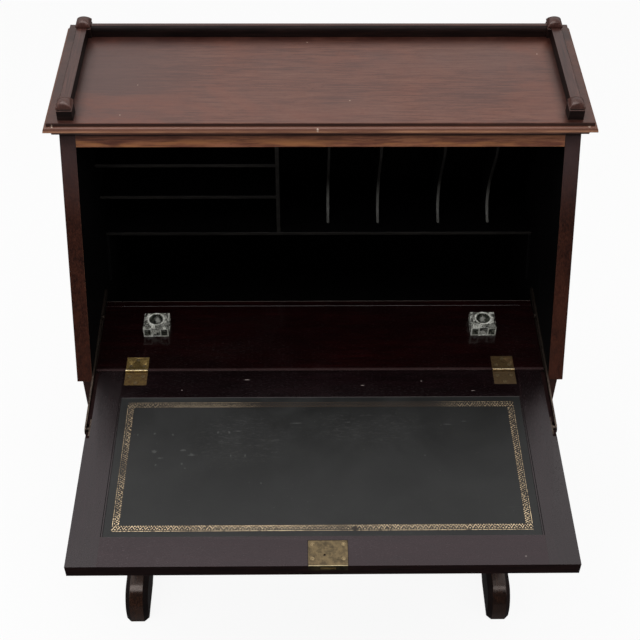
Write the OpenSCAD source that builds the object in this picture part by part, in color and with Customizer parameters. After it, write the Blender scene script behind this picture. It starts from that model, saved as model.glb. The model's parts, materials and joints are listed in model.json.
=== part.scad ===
// Slope-front writing bureau with its fall open: moulded top with a low gallery, pigeonholes,
// a writing floor with two inkwells over a well, a leathered fall on stays, and a trestle base.
// Most modules work from the hinge line: Y = 0 at the hinge pins, Z = 0 at the writing surface.

/* [Case] */
// Height of the writing surface above the ground
writing_h = 690; // [640:1:740]
// Width over the case sides
case_w = 723; // [640:1:800]
// Thickness of the case sides
side_t = 22; // [18:0.5:26]
// Depth of the case from the hinge line to its back
case_d = 376; // [350:1:420]
// Height of the opening above the writing surface
opening_h = 316.5; // [290:0.5:340]
// Lean of the case front from the vertical, in degrees
front_lean = 25.5; // [22:0.5:28]
// Reach of the sides below the writing surface
case_drop = 1; // [0.5:0.5:4]
// Thickness of the case top
top_t = 20.5; // [18:0.5:26]
// Thickness of the back panel
back_t = 8; // [6:0.5:10]
// Distance of the back panel from the back edge of the sides
back_inset = 2; // [1:0.5:6]

/* [Top board] */
// Thickness of the moulded top board
board_t = 22; // [20:0.5:26]
// Overhang of the top board past the case sides
board_side = 18.5; // [14:0.5:24]
// Overhang of the top board past the case front
board_front = 17.5; // [12:0.5:24]
// Overhang of the top board past the case back
board_back = 2; // [0:0.5:6]
// Height and reach of the hollow under the edge
hollow_r = 9.5; // [7:0.5:11]
// Height of the flat edge between the hollow and the thumb moulding
edge_flat = 5; // [3:0.5:6]
// Reach of the thumb moulding in from the edge
thumb_in = 7; // [5:0.5:9]
// Depth of the small step behind the thumb moulding
thumb_step = 1.5; // [1:0.25:2.5]

/* [Gallery] */
// Side of the square posts
post_w = 21.5; // [18:0.5:23]
// Height of the posts
post_h = 28; // [25:0.5:33]
// Rise of the domed cap of the posts
post_rise = 8; // [5:0.5:8.5]
// Height of the cap between the neck and the dome
post_cap = 3; // [2:0.5:4]
// Height of the neck under the cap
neck_h = 2; // [1:0.5:3]
// Depth of the neck
neck_d = 1; // [0.5:0.25:1.5]
// Distance of the posts from the side edge of the top board
post_in = 20.5; // [16:0.5:26]
// Height of the gallery rails
rail_h = 17; // [14:0.5:19]
// Thickness of the round-topped back rail
back_rail_t = 16; // [12:0.5:18]
// Thickness of the bevelled side rails
side_rail_t = 15.5; // [12:0.5:18]
// Bevel along the outer top edge of the side rails
rail_bevel = 1; // [0.5:0.25:3]
// Distance of the side rails inside the outer faces of the posts
rail_set = 1; // [0.5:0.25:3]
// Distance of the front posts from the front edge of the top board
post_front = 12; // [9:0.5:16]
// Distance of the back posts from the back edge of the top board
post_back = 15.5; // [12:0.5:24]

/* [Fall] */
// Thickness of the fall
fall_t = 20.5; // [15:0.5:22]
// Reach of the closed fall in front of the sides' front edges
fall_proud = 3.5; // [0:0.5:5]
// Gap between the fall and each case side
fall_gap = 2.9; // [2.9:0.1:4]
// Gap between the closed fall and the front corner of the case top
fall_top_gap = 1; // [0.8:0.1:3]
// Width of the side stiles
stile_w = 41.6; // [41:0.1:48]
// Width of the front rail
front_rail_w = 46; // [44:0.5:52]
// Width of the rail at the hinges
hinge_rail_w = 52; // [48:0.5:60]
// Thickness of the leather
leather_t = 1.2; // [1:0.1:2]
// Depth of the leather below the frame
leather_down = 0.3; // [0.1:0.1:0.6]
// Depth of the panel below the outer face of the frame
panel_down = 2; // [1:0.5:4]

/* [Floor and well] */
// Thickness of the writing floor
floor_t = 17; // [16:0.5:20]
// Depth of the floor with its rim strip
floor_d = 149; // [144:1:156]
// Width of the rim strip
rim_w = 11.5; // [9:0.5:14]
// Gap between the floor and each case side, where the stays pass
floor_gap = 3.5; // [3.5:0.1:5]
// Half of the gap between the floor and the fall
hinge_gap = 0.75; // [0.5:0.05:1]
// Thickness of the sides, front and back of the well box
well_t = 15; // [12:0.5:18]
// Height of the well box
well_h = 144; // [140:1:170]
// Thickness of the well bottom
well_bottom_t = 10; // [6:0.5:12]
// Reach of the well box in front of the hinge line
well_front_out = 16; // [12:0.5:18]
// Extra thickness of the well front
well_front_in = 3; // [0:0.5:6]
// Gap between the open fall and the well front
fall_seat_gap = 0.4; // [0.3:0.05:1]
// Height of the bearers under the floor
bearer_h = 30; // [20:1:34]
// Thickness of the bearers under the floor
bearer_t = 18; // [14:0.5:20]
// Distance of the rear bearer behind the hinge line
bearer_y = 86; // [70:1:92]

/* [Pigeonholes] */
// Distance of the shelf fronts behind the hinge line
shelf_y = 229.5; // [215:0.5:245]
// Thickness of the shelves and the upright
shelf_t = 6; // [5:0.5:8]
// Height of the top of the main shelf above the writing surface
main_shelf_z = 74; // [64:1:84]
// Height of the top of the middle shelf
middle_shelf_z = 149; // [140:1:160]
// Height of the top of the upper shelf
upper_shelf_z = 210.5; // [200:0.5:222]
// Place of the upright across the case
upright_x = -64.5; // [-90:0.5:-40]
// Thickness of the shaped dividers
divider_t = 5; // [4:0.5:6]
// Distance of the divider feet behind the shelf fronts
divider_set = 21.5; // [16:0.5:30]
// Depth of the hollow in the divider fronts
divider_sweep = 30; // [20:1:36]
// Forward sweep of the divider fronts at the top
divider_lift = 14; // [6:1:20]
// Place of the first shaped divider across the case
divider_x = 14.4; // [0:0.1:30]
// Distance from the first shaped divider to the second
divider_gap_1 = 79.9; // [70:0.1:85]
// Distance from the second shaped divider to the third
divider_gap_2 = 97; // [85:0.1:100]
// Distance from the third shaped divider to the fourth
divider_gap_3 = 79.5; // [70:0.1:82]
// Thickness of the end boards that carry the main shelf
shelf_end_t = 5; // [4:0.5:8]
// Forward reach of the end boards at their foot
shelf_end_out = 32; // [20:1:34]

/* [Hinges] */
// Distance of each hinge's middle from the inner face of the case side
hinge_in = 64.4; // [61.2:0.1:70]
// Length of each hinge along its pin
hinge_w = 33; // [28:0.5:33]
// Depth of each leaf from the pin
leaf_d = 28; // [22:0.5:32]
// Thickness of the leaves
leaf_t = 2.2; // [1.8:0.1:3]
// Radius of the knuckles
knuckle_r = 3.1; // [2.6:0.1:3.4]
// Radius of the hinge pins
pin_r = 1.5; // [1.2:0.1:1.8]
// Length of the wood screws
screw_len = 12; // [8:0.5:12.5]
// Radius of the screw heads
screw_head_r = 2.7; // [2.2:0.1:3.2]
// Height of the screw heads
screw_head_h = 1.2; // [0.8:0.1:1.4]
// Radius of the screw shanks
screw_r = 1.3; // [1:0.1:1.6]

/* [Lock] */
// Place of the lock across the fall
lock_x = 6.2; // [-10:0.1:10]
// Width of the lock plate
lock_w = 52; // [50:0.1:60]
// Length of the lock plate from the front edge
lock_l = 39; // [34:0.5:42]
// Thickness of the lock plate and its lip
lock_plate_t = 2; // [1.6:0.1:2.2]
// Height of the lip on the front edge
lip_h = 11; // [10.5:0.5:13]
// Half width of the lock body
lock_body_half = 16.5; // [14:0.5:17]
// Width of the bolt
bolt_w = 20; // [14:0.5:22]
// Thickness of the bolt
bolt_t = 4; // [3:0.25:4.5]
// Length of the bolt
bolt_l = 26; // [20:0.5:27]
// Travel of the bolt
bolt_throw = 12; // [10:0.5:13]
// Place of the keyhole across the fall
key_x = 1.8; // [-4:0.1:8]
// Distance of the keyhole from the front edge
key_y = 16.5; // [12:0.1:18]
// Radius of the hole in the lock plate for the end of the key
key_pin_r = 1.8; // [1.4:0.1:2.4]
// Radius of the round part of the keyhole
keyhole_r = 2.6; // [2:0.1:3]
// Depth of the slot of the keyhole from its centre
keyhole_drop = 6.5; // [5:0.5:7]
// Radius of the keyhole plate
escutcheon_r = 9.5; // [9:0.5:11]
// Thickness of the keyhole plate
escutcheon_t = 1; // [0.8:0.1:1.6]

/* [Stays] */
// Distance of the stay pivot and of the guide stud from the hinge line
stay_reach = 108; // [100:1:110]
// Angle of the pivot below the writing surface, in degrees
pivot_dip = 3; // [2.6:0.1:3.2]
// Angle of the guide stud above the writing surface, in degrees
stud_rise = 3.4; // [3.3:0.1:4]
// Length of the stay bar past its pivot
stay_len = 274; // [262:1:276]
// Height of the stay bar
stay_h = 14; // [12:0.5:14]
// Thickness of the stay bar
stay_t = 2.4; // [2:0.1:2.4]
// Gap between the stay bar and the case side
stay_side_gap = 0.2; // [0.2:0.05:0.4]
// Radius of the stay pivots and guide studs
stay_pin_r = 2.3; // [2:0.1:2.5]
// Width of the notch for the stay in the edge of the fall
notch_w = 5.6; // [5.4:0.1:7]
// Depth of the notch below the inner face of the fall
notch_h = 12.9; // [12.9:0.1:13.4]
// Length of the notch from the hinge line
notch_l = 128; // [124:1:134]
// Thickness of the stay plates
stay_plate_t = 2; // [1.6:0.1:2.4]

/* [Inkwells] */
// Distance of each inkwell's middle from the inner face of the case side
ink_in = 87.6; // [70:0.1:120]
// Distance of the inkwells behind the hinge line, to their middle
ink_y = 88.5; // [80:0.1:92]
// Width of the inkwells
ink_w = 38.5; // [34:0.5:44]
// Depth of the inkwells from front to back
ink_d = 34; // [30:0.5:42]
// Height of the inkwells above the writing surface
ink_up = 21; // [16:0.5:26]
// Depth of the pockets for the inkwells
ink_pocket = 12; // [8:0.5:13]
// Clearance of the inkwells in their pockets
ink_gap = 0.4; // [0.3:0.05:0.8]
// Radius of the round well in each inkwell
ink_bore_r = 10.5; // [8:0.5:13]
// Thickness of the glass under the wells
ink_base = 7; // [5:0.5:10]
// Bevel round the top of the inkwells
ink_bevel = 4; // [2:0.5:5]

/* [Base] */
// Width of the feet
foot_w = 42.5; // [36:0.5:48]
// Distance of each foot's middle from the outer face of the case side
foot_in = 19.2; // [18:0.1:26]
// Reach of the toes in front of the hinge line
toe_out = 18.6; // [10:0.1:24]
// Reach of the heels in front of the case back
heel_in = 12; // [0:1:30]
// Height of the feet
foot_h = 66; // [56:1:72]
// Height of the upright part of the toes
toe_flat = 14; // [8:1:20]
// Length of the curve of the toes
toe_curve = 46; // [40:1:52]
// Bevel along the edges of the toes
toe_bevel = 8.5; // [6:0.5:10]
// Length of the pad under each end of the feet
foot_pad = 84; // [70:1:100]
// Rise of the arch under the feet
foot_arch = 10; // [6:1:16]
// Thickness of the end panels
panel_t = 24; // [20:0.5:24.5]
// Depth of the end panels at the waist
panel_waist = 190; // [150:1:220]
// Depth of the end panels at the foot
panel_foot = 230; // [200:1:250]
// Depth of the end panels at the well box
panel_head = 310; // [260:1:330]
// Height of the stretcher above the ground
stretcher_z = 170; // [120:1:240]
// Height of the stretcher
stretcher_h = 84; // [60:1:100]
// Thickness of the stretcher
stretcher_t = 22; // [18:0.5:26]
// Side of the cleats under the well box
cleat_w = 24; // [20:0.5:28]

/* [Hidden] */

wood = "#5a2c20";
wood_dark = "#3a1c16";
wood_inside = "#241210";
brass = "#b0903f";
steel = "#6a665c";
leather_green = "#2c332f";
glass = "#cfe0e2";

flush_t = fall_t - fall_proud;
inner_x = case_w / 2 - side_t;
outer_x = case_w / 2;
case_top_z = opening_h + top_t;
board_z = case_top_z + board_t;
board_x = outer_x + board_side;
board_y0 = front_y(case_top_z) - board_front;
board_y1 = case_d + board_back;
back_y = case_d - back_inset - back_t;
post_x1 = board_x - post_in;
post_x0 = post_x1 - post_w;
post_x = (post_x0 + post_x1) / 2;
rail_x = post_x1 - rail_set - side_rail_t / 2;
front_post_y = board_y0 + post_front;
back_post_y = board_y1 - post_back - post_w;
barrel_r = (pow(post_w / 2, 2) + pow(post_rise, 2)) / (2 * post_rise);
neck_z = post_h - post_rise - post_cap - neck_h;
close_deg = 90 + front_lean;
hinge_x = inner_x - hinge_in;
ink_x = inner_x - ink_in;
foot_x = outer_x - foot_in;
fall_len = opening_h / cos(front_lean) - flush_t * tan(front_lean) - fall_top_gap;
fall_x = inner_x - fall_gap;
panel_x = fall_x - stile_w;
hinge_y = (fall_len - board_y1) / 2;
floor_x = inner_x - floor_gap;
well_x = inner_x + well_t;
well_top = -case_drop;
well_z = well_top - well_h;
well_back_y = case_d - well_t;
well_front_y = well_t + well_front_in - well_front_out;
stud_y = stay_reach * cos(stud_rise);
stud_z = stay_reach * sin(stud_rise);
pivot_y = -stay_reach * cos(pivot_dip);
pivot_z = -stay_reach * sin(pivot_dip);
stay_tilt = (pivot_dip + stud_rise) / 2;
stay_x1 = inner_x - stay_side_gap;
stay_x0 = stay_x1 - stay_t;
open_apex = 180 + pivot_dip - stud_rise;
slot_far = 2 * stay_reach * sin(open_apex / 2);
slot_near = 2 * stay_reach * sin((open_apex - close_deg) / 2);
slot_play = 0.4;
run_fit = 0.05;
part_gap = 0.3;
cut = 1;
knuckle_gap = 0.25;
knuckle_l = (hinge_w - 4 * knuckle_gap) / 5;
leaf_x0 = hinge_x - hinge_w / 2;
leaf_screw_out = 10;
leaf_screw_near = 10.5;
leaf_screw_far = 23;
lock_screw_x = 20.4;
lock_screw_y1 = lock_l - 5.5;
lock_screw_y2 = 11;
lock_screw_len = 9;
lock_body_top = -lock_plate_t;
lock_body_z = -11;
lock_body_y = lock_l - 4;
bolt_z = -6.5;
bolt_back = 0.5;
bolt_room_gap = 1;
strike_t = 1.5;
strike_half = 22;
strike_front = 8.5;
strike_rear = 12;
strike_y = opening_h * tan(front_lean) + bolt_z / cos(front_lean);
stay_screw_len = 9;
stay_screw_out = 11;
stay_plate_half = 15.5;
stay_boss_r = 4.3;
stud_head_h = 1.2;
foot_y0 = -toe_out;
foot_y1 = case_d - heel_in;
base_y = (foot_y0 + foot_y1) / 2;
panel_top = writing_h + well_z;
tenon_t = 12;
tenon_in = 12;
fine = 48;

function front_y(z) = z * tan(front_lean) - flush_t / cos(front_lean);

// Profile of the top board's edge, as distance in from the edge and height above the case top
function edge_profile() = let (thumb_h = board_t - thumb_step - hollow_r - edge_flat) concat(
    [for (a = [0:15:90]) [hollow_r * cos(a), hollow_r * sin(a)]],
    [for (a = [0:15:90]) [thumb_in * (1 - cos(a)), hollow_r + edge_flat + thumb_h * sin(a)]],
    [[thumb_in, board_t]]);

// Front edge of a shaped divider: a hollow above the foot, then a slow forward sweep
function divider_front(t) = shelf_y + divider_set
    + (t < 0.55 ? divider_sweep * sin(180 * pow(t / 0.55, 0.6))
                : -divider_lift * (1 - cos(180 * (t - 0.55) / 0.45)) / 2);

// Half depth of an end panel at a share t of its height
function panel_half(t) = let (low = panel_foot - panel_waist, high = panel_head - panel_waist)
    (panel_waist + (t < 0.4 ? low * pow(cos(90 * t / 0.4), 2)
                            : high * pow(sin(90 * (t - 0.4) / 0.6), 2))) / 2;

module at_hinge() translate([0, hinge_y, writing_h]) children();
module at_ground() translate([0, hinge_y, 0]) children();
module both_sides() { children(); mirror([1, 0, 0]) children(); }
module on_side(s) { if (s > 0) children(); else mirror([1, 0, 0]) children(); }

// Outline in Y and Z, drawn out along X
module slab_x(points, x0, x1)
    translate([x0, 0, 0]) rotate([90, 0, 90]) linear_extrude(x1 - x0) polygon(points);

// Outline in X and Z, drawn out along Y
module slab_y(points, y0, y1)
    translate([0, y1, 0]) rotate([90, 0, 0]) linear_extrude(y1 - y0) polygon(points);

module block(x0, x1, y0, y1, z0, z1)
    translate([x0, y0, z0]) cube([x1 - x0, y1 - y0, z1 - z0]);

module rod_x(r, x0, x1, y, z)
    translate([x0, y, z]) rotate([0, 90, 0]) cylinder(r = r, h = x1 - x0, $fn = fine);

module rod_y(r, x, y0, y1, z)
    translate([x, y0, z]) rotate([-90, 0, 0]) cylinder(r = r, h = y1 - y0, $fn = fine);

module rod_z(r, x, y, z0, z1)
    translate([x, y, z0]) cylinder(r = r, h = z1 - z0, $fn = fine);

// Flat-headed wood screw, driven down from z = 0; extra widens it for its hole
module screw(length, extra = 0) {
    translate([0, 0, -screw_head_h]) cylinder(r = screw_head_r + extra, h = screw_head_h,
        $fn = fine);
    translate([0, 0, -length]) cylinder(r = screw_r + extra, h = length, $fn = fine);
}

// Case
module case_side(s) color(wood) at_hinge() on_side(s) difference() {
    slab_x([[front_y(well_top), well_top], [case_d, well_top],
            [case_d, case_top_z], [front_y(case_top_z), case_top_z]], inner_x, outer_x);
    rod_x(stay_pin_r + run_fit, inner_x - cut, inner_x + side_t / 2, stud_y, stud_z);
}
module case_side_left() case_side(-1);
module case_side_right() case_side(1);

module case_top() color(wood) at_hinge() difference() {
    slab_x([[front_y(opening_h), opening_h], [case_d, opening_h],
            [case_d, case_top_z], [front_y(case_top_z), case_top_z]], -inner_x, inner_x);
    strike_shape();
    bolt_way();
}

module top_board() {
    edge = edge_profile();
    front = concat([[board_y1, 0]], [for (p = edge) [board_y0 + p[0], p[1]]],
                   [[board_y1, board_t]]);
    both = concat([for (p = edge) [board_x - p[0], p[1]]],
                  [for (i = [len(edge) - 1:-1:0]) [edge[i][0] - board_x, edge[i][1]]]);
    color(wood) at_hinge() translate([0, 0, case_top_z]) intersection() {
        slab_x(front, -board_x, board_x);
        slab_y(both, board_y0, board_y1);
    }
}

module case_back() color(wood_dark) at_hinge()
    block(-inner_x, inner_x, back_y, back_y + back_t, well_top, opening_h);

// Floor and well
module floor_board() color(wood_dark) at_hinge() difference() {
    block(-floor_x, floor_x, hinge_gap, floor_d - rim_w, -floor_t, 0);
    both_sides() {
        leaf_pocket();
        leaf_screws(screw_len, run_fit);
        translate([ink_x - ink_w / 2 - ink_gap, ink_y - ink_d / 2 - ink_gap, -ink_pocket])
            cube([ink_w + 2 * ink_gap, ink_d + 2 * ink_gap, ink_pocket + cut]);
    }
}
module floor_rim() color(wood_dark) at_hinge()
    block(-floor_x, floor_x, floor_d - rim_w, floor_d, -floor_t, 0);
module floor_bearers() color(wood_dark) at_hinge() for (y = [well_front_y, bearer_y])
    block(-inner_x, inner_x, y, y + bearer_t, -floor_t - bearer_h, -floor_t);

module well_side(s) color(wood) at_hinge() on_side(s)
    block(inner_x, well_x, -well_front_out, case_d, well_z, well_top);
module well_side_left() well_side(-1);
module well_side_right() well_side(1);
module well_front() color(wood) at_hinge() block(-inner_x, inner_x, -well_front_out,
    well_front_y, well_z, -fall_t - fall_seat_gap);
module well_back() color(wood) at_hinge()
    block(-inner_x, inner_x, well_back_y, case_d, well_z, well_top);
module well_bottom() color(wood_dark) at_hinge()
    block(-inner_x, inner_x, well_front_y, well_back_y, well_z, well_z + well_bottom_t);

// Pigeonholes
module shelf(x0, x1, z) color(wood_inside) at_hinge()
    block(x0, x1, shelf_y, back_y, z - shelf_t, z);
module main_shelf() shelf(-inner_x, inner_x, main_shelf_z);
module middle_shelf() shelf(-inner_x, upright_x - shelf_t / 2, middle_shelf_z);
module upper_shelf() shelf(-inner_x, upright_x - shelf_t / 2, upper_shelf_z);
module upright_divider() color(wood_inside) at_hinge()
    block(upright_x - shelf_t / 2, upright_x + shelf_t / 2, shelf_y, back_y,
          main_shelf_z, opening_h);

function divider_place(i) = divider_x + [0, divider_gap_1, divider_gap_1 + divider_gap_2,
    divider_gap_1 + divider_gap_2 + divider_gap_3][i];
module shaped_divider(i) {
    rise = opening_h - main_shelf_z;
    outline = concat([for (k = [0:24]) [divider_front(k / 24), main_shelf_z + rise * k / 24]],
                     [[back_y, opening_h], [back_y, main_shelf_z]]);
    x = divider_place(i);
    color(wood_inside) at_hinge() slab_x(outline, x - divider_t / 2, x + divider_t / 2);
}
module shaped_divider_1() shaped_divider(0);
module shaped_divider_2() shaped_divider(1);
module shaped_divider_3() shaped_divider(2);
module shaped_divider_4() shaped_divider(3);

module shelf_ends() color(wood_inside) at_hinge() both_sides()
    slab_x([[shelf_y - shelf_end_out, well_top], [back_y, well_top],
            [back_y, main_shelf_z - shelf_t], [shelf_y, main_shelf_z - shelf_t]],
           inner_x - shelf_end_t, inner_x);

// Gallery
module gallery_back_rail() color(wood) at_hinge() translate([0, 0, board_z]) {
    y = back_post_y + post_w / 2;
    r = back_rail_t / 2;
    block(-post_x0, post_x0, y - r, y + r, 0, rail_h - r);
    rod_x(r, -post_x0, post_x0, y, rail_h - r);
}
module gallery_rail(s) {
    x0 = rail_x - side_rail_t / 2;
    x1 = rail_x + side_rail_t / 2;
    color(wood) at_hinge() translate([0, 0, board_z]) on_side(s)
        slab_y([[x0, 0], [x1, 0], [x1, rail_h - rail_bevel], [x1 - rail_bevel, rail_h],
                [x0, rail_h]], front_post_y + post_w, back_post_y);
}
module gallery_rail_left() gallery_rail(-1);
module gallery_rail_right() gallery_rail(1);

// Square post with a narrower neck and a domed cap
module gallery_post(s, y)
    color(wood) at_hinge() translate([0, 0, board_z]) on_side(s) {
        mid = y + post_w / 2;
        block(post_x0, post_x1, y, y + post_w, 0, neck_z);
        block(post_x0 + neck_d, post_x1 - neck_d, y + neck_d, y + post_w - neck_d,
              neck_z, neck_z + neck_h);
        intersection() {
            block(post_x0, post_x1, y, y + post_w, neck_z + neck_h, post_h);
            rod_y(barrel_r, post_x, y - cut, y + post_w + cut, post_h - barrel_r);
            rod_x(barrel_r, post_x0 - cut, post_x1 + cut, mid, post_h - barrel_r);
        }
    }
module gallery_post_front_left() gallery_post(-1, front_post_y);
module gallery_post_front_right() gallery_post(1, front_post_y);
module gallery_post_back_left() gallery_post(-1, back_post_y);
module gallery_post_back_right() gallery_post(1, back_post_y);

// Fall
module fall_stile(s) color(wood) at_hinge() on_side(s) difference() {
    block(panel_x, fall_x, -fall_len, -hinge_gap, -fall_t, 0);
    block(fall_x - notch_w, fall_x + cut, -notch_l, cut, -notch_h, cut);
    stay_screw_places() screw(stay_screw_len, run_fit);
}
module fall_stile_left() fall_stile(-1);
module fall_stile_right() fall_stile(1);

module fall_front_rail() color(wood) at_hinge() difference() {
    block(-panel_x, panel_x, -fall_len, -fall_len + front_rail_w, -fall_t, 0);
    lock_plate_shape();
    lock_body_shape();
    lock_screw_places() screw(lock_screw_len, run_fit);
    keyhole(-fall_t - cut, lock_body_z + cut);
}
module fall_hinge_rail() color(wood) at_hinge() difference() {
    block(-panel_x, panel_x, -hinge_rail_w, -hinge_gap, -fall_t, 0);
    mirror([0, 1, 0]) both_sides() {
        leaf_pocket();
        leaf_screws(screw_len, run_fit);
    }
}
module fall_panel() color(wood) at_hinge() block(-panel_x, panel_x,
    -fall_len + front_rail_w, -hinge_rail_w, panel_down - fall_t, -leather_down - leather_t);
module leather_inset() color(leather_green) at_hinge() block(-panel_x, panel_x,
    -fall_len + front_rail_w, -hinge_rail_w, -leather_down - leather_t, -leather_down);

// Hinges: five knuckles, three on the floor leaf and two on the fall leaf
module knuckles(which) for (i = which) {
    x = leaf_x0 + i * (knuckle_l + knuckle_gap);
    rod_x(knuckle_r, x, x + knuckle_l, 0, 0);
}
module knuckle_room(which) for (i = which) {
    x = leaf_x0 + i * (knuckle_l + knuckle_gap);
    rod_x(knuckle_r + part_gap, x - knuckle_gap, x + knuckle_l + knuckle_gap, 0, 0);
}
module leaf_pocket() {
    block(leaf_x0, leaf_x0 + hinge_w, hinge_gap - cut, leaf_d, -leaf_t, cut);
    rod_x(knuckle_r + part_gap, leaf_x0 - knuckle_gap, leaf_x0 + hinge_w + knuckle_gap, 0, 0);
}
module leaf_screws(length, extra = 0)
    for (p = [[-leaf_screw_out, leaf_screw_near], [leaf_screw_out, leaf_screw_near], [0, leaf_screw_far]])
        translate([hinge_x + p[0], p[1], 0]) screw(length, extra);
module leaf(own, other) color(brass) at_hinge() difference() {
    union() {
        block(leaf_x0, leaf_x0 + hinge_w, hinge_gap, leaf_d, -leaf_t, 0);
        knuckles(own);
    }
    knuckle_room(other);
    rod_x(pin_r + run_fit, leaf_x0 - cut, leaf_x0 + hinge_w + cut, 0, 0);
    leaf_screws(screw_len, run_fit);
}
module hinge_floor_leaves() { leaf([0, 2, 4], [1, 3]); mirror([1, 0, 0]) leaf([0, 2, 4], [1, 3]); }
module fall_leaf() translate([0, hinge_y, 0]) mirror([0, 1, 0]) translate([0, -hinge_y, 0])
    leaf([1, 3], [0, 2, 4]);
module hinge_fall_leaves() { fall_leaf(); mirror([1, 0, 0]) fall_leaf(); }
module hinge_pins() color(brass) at_hinge() both_sides()
    rod_x(pin_r, leaf_x0, leaf_x0 + hinge_w, 0, 0);
module hinge_floor_screws() color(brass) at_hinge() both_sides() leaf_screws(screw_len);
module hinge_fall_screws() color(brass) at_hinge() mirror([0, 1, 0]) both_sides()
    leaf_screws(screw_len);

// Lock: plate and lip on the fall, body behind them, bolt, keyhole plate and strike
module lock_plate_shape() {
    block(lock_x - lock_w / 2, lock_x + lock_w / 2, -fall_len, -fall_len + lock_l,
          -lock_plate_t, 0);
    block(lock_x - lock_w / 2, lock_x + lock_w / 2, -fall_len, -fall_len + lock_plate_t,
          -lip_h, 0);
}
module lock_body_shape() block(lock_x - lock_body_half, lock_x + lock_body_half,
    -fall_len + lock_plate_t, -fall_len + lock_body_y, lock_body_z, lock_body_top);
module bolt_room() block(lock_x - bolt_w / 2 - part_gap, lock_x + bolt_w / 2 + part_gap,
    -fall_len - cut, -fall_len + bolt_back + bolt_l + part_gap,
    bolt_z - bolt_t / 2 - part_gap, bolt_z + bolt_t / 2 + part_gap);
module keyhole(z0, z1) {
    y = -fall_len + key_y;
    rod_z(keyhole_r, key_x, y, z0, z1);
    block(key_x - keyhole_r / 2, key_x + keyhole_r / 2, y, y + keyhole_drop, z0, z1);
}
module lock_screw_places() for (dx = [-lock_screw_x, lock_screw_x])
    for (dy = [lock_screw_y1, lock_screw_y2])
        translate([lock_x + dx, -fall_len + dy, 0]) children();

module lock_plate() color(brass) at_hinge() difference() {
    lock_plate_shape();
    bolt_room();
    lock_screw_places() screw(lock_screw_len, run_fit);
    rod_z(key_pin_r, key_x, -fall_len + key_y, -lock_plate_t - cut, cut);
}
module lock_case() color(steel) at_hinge() difference() {
    lock_body_shape();
    bolt_room();
    keyhole(lock_body_z - cut, bolt_z - bolt_t / 2);
}
module lock_bolt() color(brass) at_hinge() block(lock_x - bolt_w / 2, lock_x + bolt_w / 2,
    -fall_len + bolt_back, -fall_len + bolt_back + bolt_l,
    bolt_z - bolt_t / 2, bolt_z + bolt_t / 2);
module lock_screws() color(brass) at_hinge() lock_screw_places() screw(lock_screw_len);
module key_escutcheon() color(brass) at_hinge() difference() {
    rod_z(escutcheon_r, key_x, -fall_len + key_y + keyhole_drop / 3, -fall_t - escutcheon_t,
          -fall_t);
    keyhole(-fall_t - escutcheon_t - cut, -fall_t + cut);
}
// The bolt's way through the strike and into the case top, in the closed place of the fall
module bolt_way() rotate([-close_deg, 0, 0]) block(lock_x - bolt_w / 2 - bolt_room_gap,
    lock_x + bolt_w / 2 + bolt_room_gap, -fall_len - bolt_throw - bolt_room_gap, -fall_len,
    bolt_z - bolt_t / 2 - bolt_room_gap, bolt_z + bolt_t / 2 + bolt_room_gap);
module strike_shape() block(lock_x - strike_half, lock_x + strike_half,
    strike_y - strike_front, strike_y + strike_rear, opening_h, opening_h + strike_t);
module lock_strike() color(brass) at_hinge() difference() {
    strike_shape();
    bolt_way();
}

// Stays
module stay_screw_places() for (dy = [-stay_screw_out, stay_screw_out])
    translate([fall_x - notch_w + stay_plate_t, pivot_y + dy, pivot_z])
        rotate([0, 90, 0]) children();
module stay_bar(s) color(steel) at_hinge() on_side(s)
    translate([0, pivot_y, pivot_z]) rotate([stay_tilt, 0, 0]) difference() {
        union() {
            block(stay_x0, stay_x1, 0, stay_len - stay_h / 2, -stay_h / 2, stay_h / 2);
            rod_x(stay_h / 2, stay_x0, stay_x1, 0, 0);
            rod_x(stay_h / 2, stay_x0, stay_x1, stay_len - stay_h / 2, 0);
        }
        rod_x(stay_pin_r + run_fit, stay_x0 - cut, stay_x1 + cut, 0, 0);
        rod_x(stay_pin_r + slot_play, stay_x0 - cut, stay_x1 + cut, slot_near, 0);
        rod_x(stay_pin_r + slot_play, stay_x0 - cut, stay_x1 + cut, slot_far, 0);
        block(stay_x0 - cut, stay_x1 + cut, slot_near, slot_far,
              -stay_pin_r - slot_play, stay_pin_r + slot_play);
    }
module stay_bar_left() stay_bar(-1);
module stay_bar_right() stay_bar(1);

module stay_plates() color(steel) at_hinge() both_sides() {
    x0 = fall_x - notch_w;
    difference() {
        block(x0, x0 + stay_plate_t, pivot_y - stay_plate_half, pivot_y + stay_plate_half,
              -notch_h + part_gap, -part_gap);
        stay_screw_places() screw(stay_screw_len, run_fit);
    }
    rod_x(stay_boss_r, x0 + stay_plate_t, stay_x0 - stay_side_gap, pivot_y, pivot_z);
    rod_x(stay_pin_r, stay_x0 - stay_side_gap, stay_x1, pivot_y, pivot_z);
}
module stay_plate_screws() color(steel) at_hinge() both_sides() stay_screw_places()
    screw(stay_screw_len);
module stay_studs() color(steel) at_hinge() both_sides() {
    rod_x(stay_pin_r, stay_x0 - stay_side_gap, inner_x + side_t / 2, stud_y, stud_z);
    rod_x(stay_boss_r, stay_x0 - stay_side_gap - stud_head_h, stay_x0 - stay_side_gap,
          stud_y, stud_z);
}

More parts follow.
